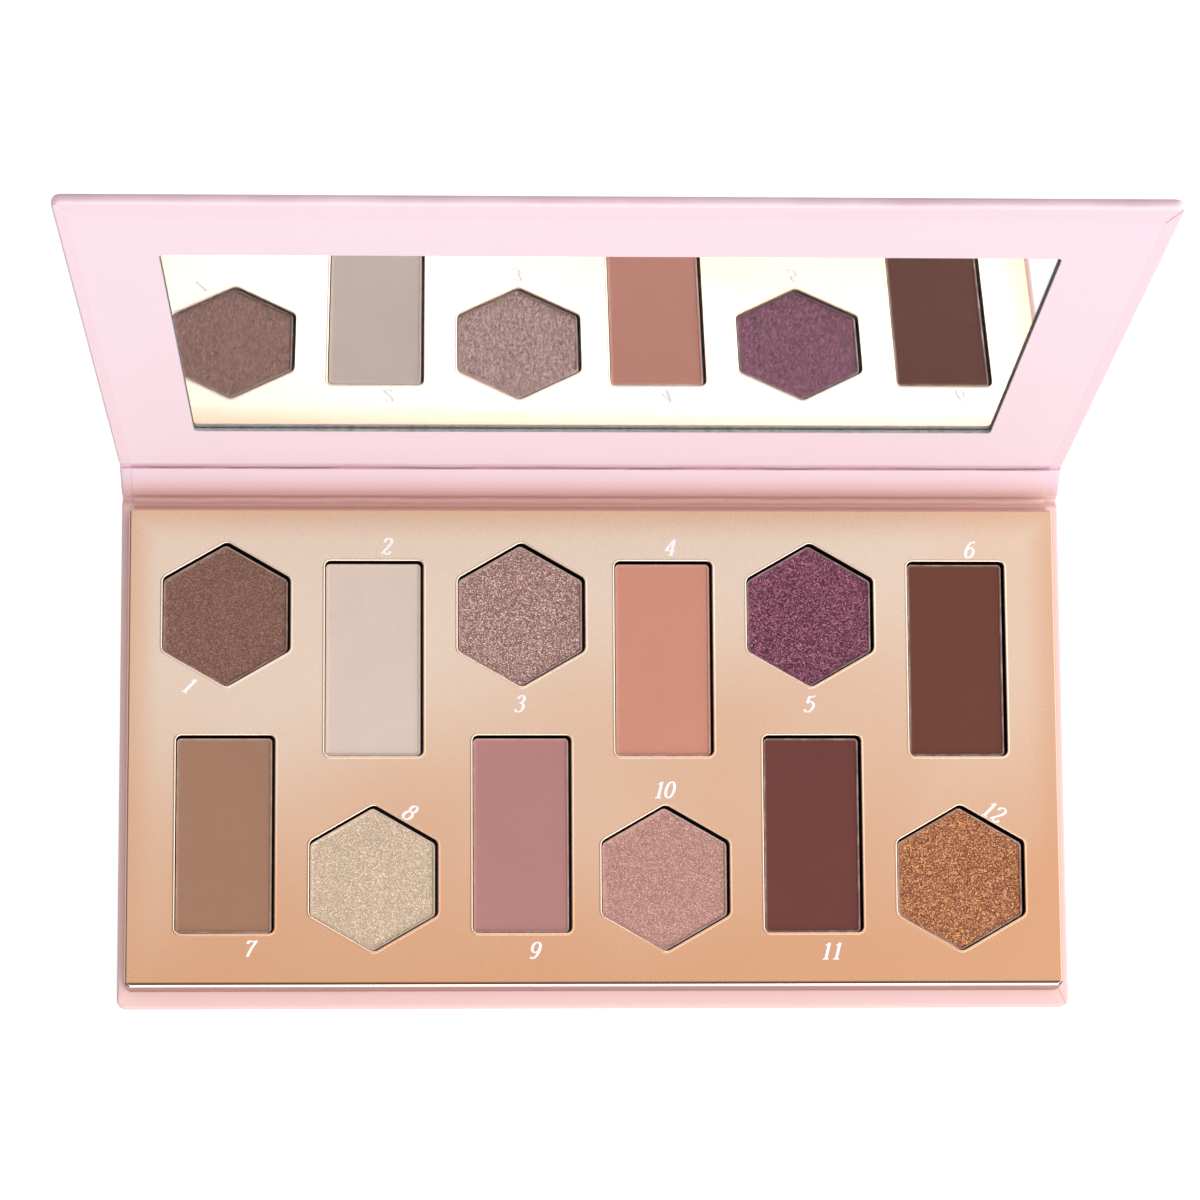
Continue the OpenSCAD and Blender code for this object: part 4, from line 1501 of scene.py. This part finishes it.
@dataclass
class Studio:
    """Plain pale floor, soft lamps, white surroundings and the camera. Lengths are metres;
    those of the floor, the sensor and the lens are millimetres."""

    lamps: tuple[Lamp, ...] = (
        Lamp("key", (0.3, -0.75, 0.82), (0, 0, 0.02), (1.15, 0.55), 6.6),
        Lamp("side", (0.85, 0.05, 0.7), (0, 0, 0.02), (0.9, 0.9), 3.6),
    )
    dim: float = 0.08
    bright: float = 0.95
    window_side: Point3 = (0.5, -0.7, 0.5)
    rear_side: Point3 = (0, 1, 0.1)
    rear_fill: float = 1.15
    flag: float = 0.06
    floor_half: float = 3000.0
    floor_top: float = -0.02
    floor_foot: float = -3.0
    camera_place: Point3 = (-0.0235853, -0.0618547, 0.4796788)
    camera_turn: Point3 = (5.87228626, -1.51629692, -0.21058894)
    sensor: float = 36.0
    lens: float = 85.423
    shift: Point2 = (0.058333, 0.191667)
    clip: Point2 = (0.01, 20.0)

    def surroundings(self) -> None:
        """Makes the world: white where it is seen, but for a black flag low on the left of
        what reflections show; as light, bright to the front right and dim to the rear left,
        like a white room with its window there, with a low fill from behind for the back of
        the lid."""
        world = bpy.data.worlds.new("studio")
        bpy.context.scene.world = world
        world.use_nodes = True
        nodes = Graph(world.node_tree)
        ray = nodes.add("TexCoord").outputs["Generated"]
        facing, behind = (
            nodes.add("VectorMath", ray, side, operation="DOT_PRODUCT")
            for side in (self.window_side, self.rear_side)
        )
        light = nodes.add("MapRange", facing, -0.3, 0.9, self.dim, self.bright)
        fill = nodes.add("MapRange", behind, 0.35, 0.95, 0.0, self.rear_fill)
        both = nodes.add("Math", light, fill, operation="ADD")
        left = nodes.add("SeparateXYZ", ray).outputs["X"]
        mirrored = nodes.add("MapRange", left, -0.2, -0.6, 1.0, self.flag, interpolation_type=SMOOTH)
        seen = nodes.add("Mix", nodes.add("LightPath").outputs["Is Glossy Ray"], 1.0, mirrored)
        level = nodes.add("Mix", backdrop_rays(nodes), both, seen)
        nodes.put(nodes.tree.nodes["Background"], color=WHITE, strength=level)

    def floor(self) -> None:
        """Lays the floor."""
        half = self.floor_half
        plate = block_patch((-half, -half, self.floor_foot), (half, half, self.floor_top))
        piece = make_piece("studio_floor", [plate], FloorPaper("studio_floor").build())

    def camera(self) -> None:
        """Sets up the camera at the product shot's viewing angle."""
        data = bpy.data.cameras.new("camera")
        data.sensor_width, data.lens = self.sensor, self.lens
        data.shift_x, data.shift_y = self.shift
        data.clip_start, data.clip_end = self.clip
        view = bpy.data.objects.new("camera", data)
        view.location = self.camera_place
        view.rotation_euler = tuple(math.radians(a) for a in self.camera_turn)
        bpy.context.scene.collection.objects.link(view)
        bpy.context.scene.camera = view

    def build(self) -> None:
        """Sets up the whole studio."""
        bpy.context.scene.view_settings.view_transform = "Standard"
        self.surroundings()
        self.floor()
        self.camera()
        for lamp in self.lamps:
            lamp.build()


def main() -> None:
    """Loads the frame, dresses the palette and sets up the studio."""
    logging.basicConfig(level=logging.INFO, format="%(name)s: %(message)s")
    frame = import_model()
    Studio().build()
    sizes, finishes = CaseSizes(), Finishes()
    dress_nodes(frame["nodes"], finishes)
    for part in (Base, Spine, Lid, Tray):
        for piece in part(sizes, finishes).build():
            LOG.info("%s: %d faces", piece.name, len(piece.data.polygons))
    bpy.context.view_layer.update()


if __name__ == "__main__":
    main()
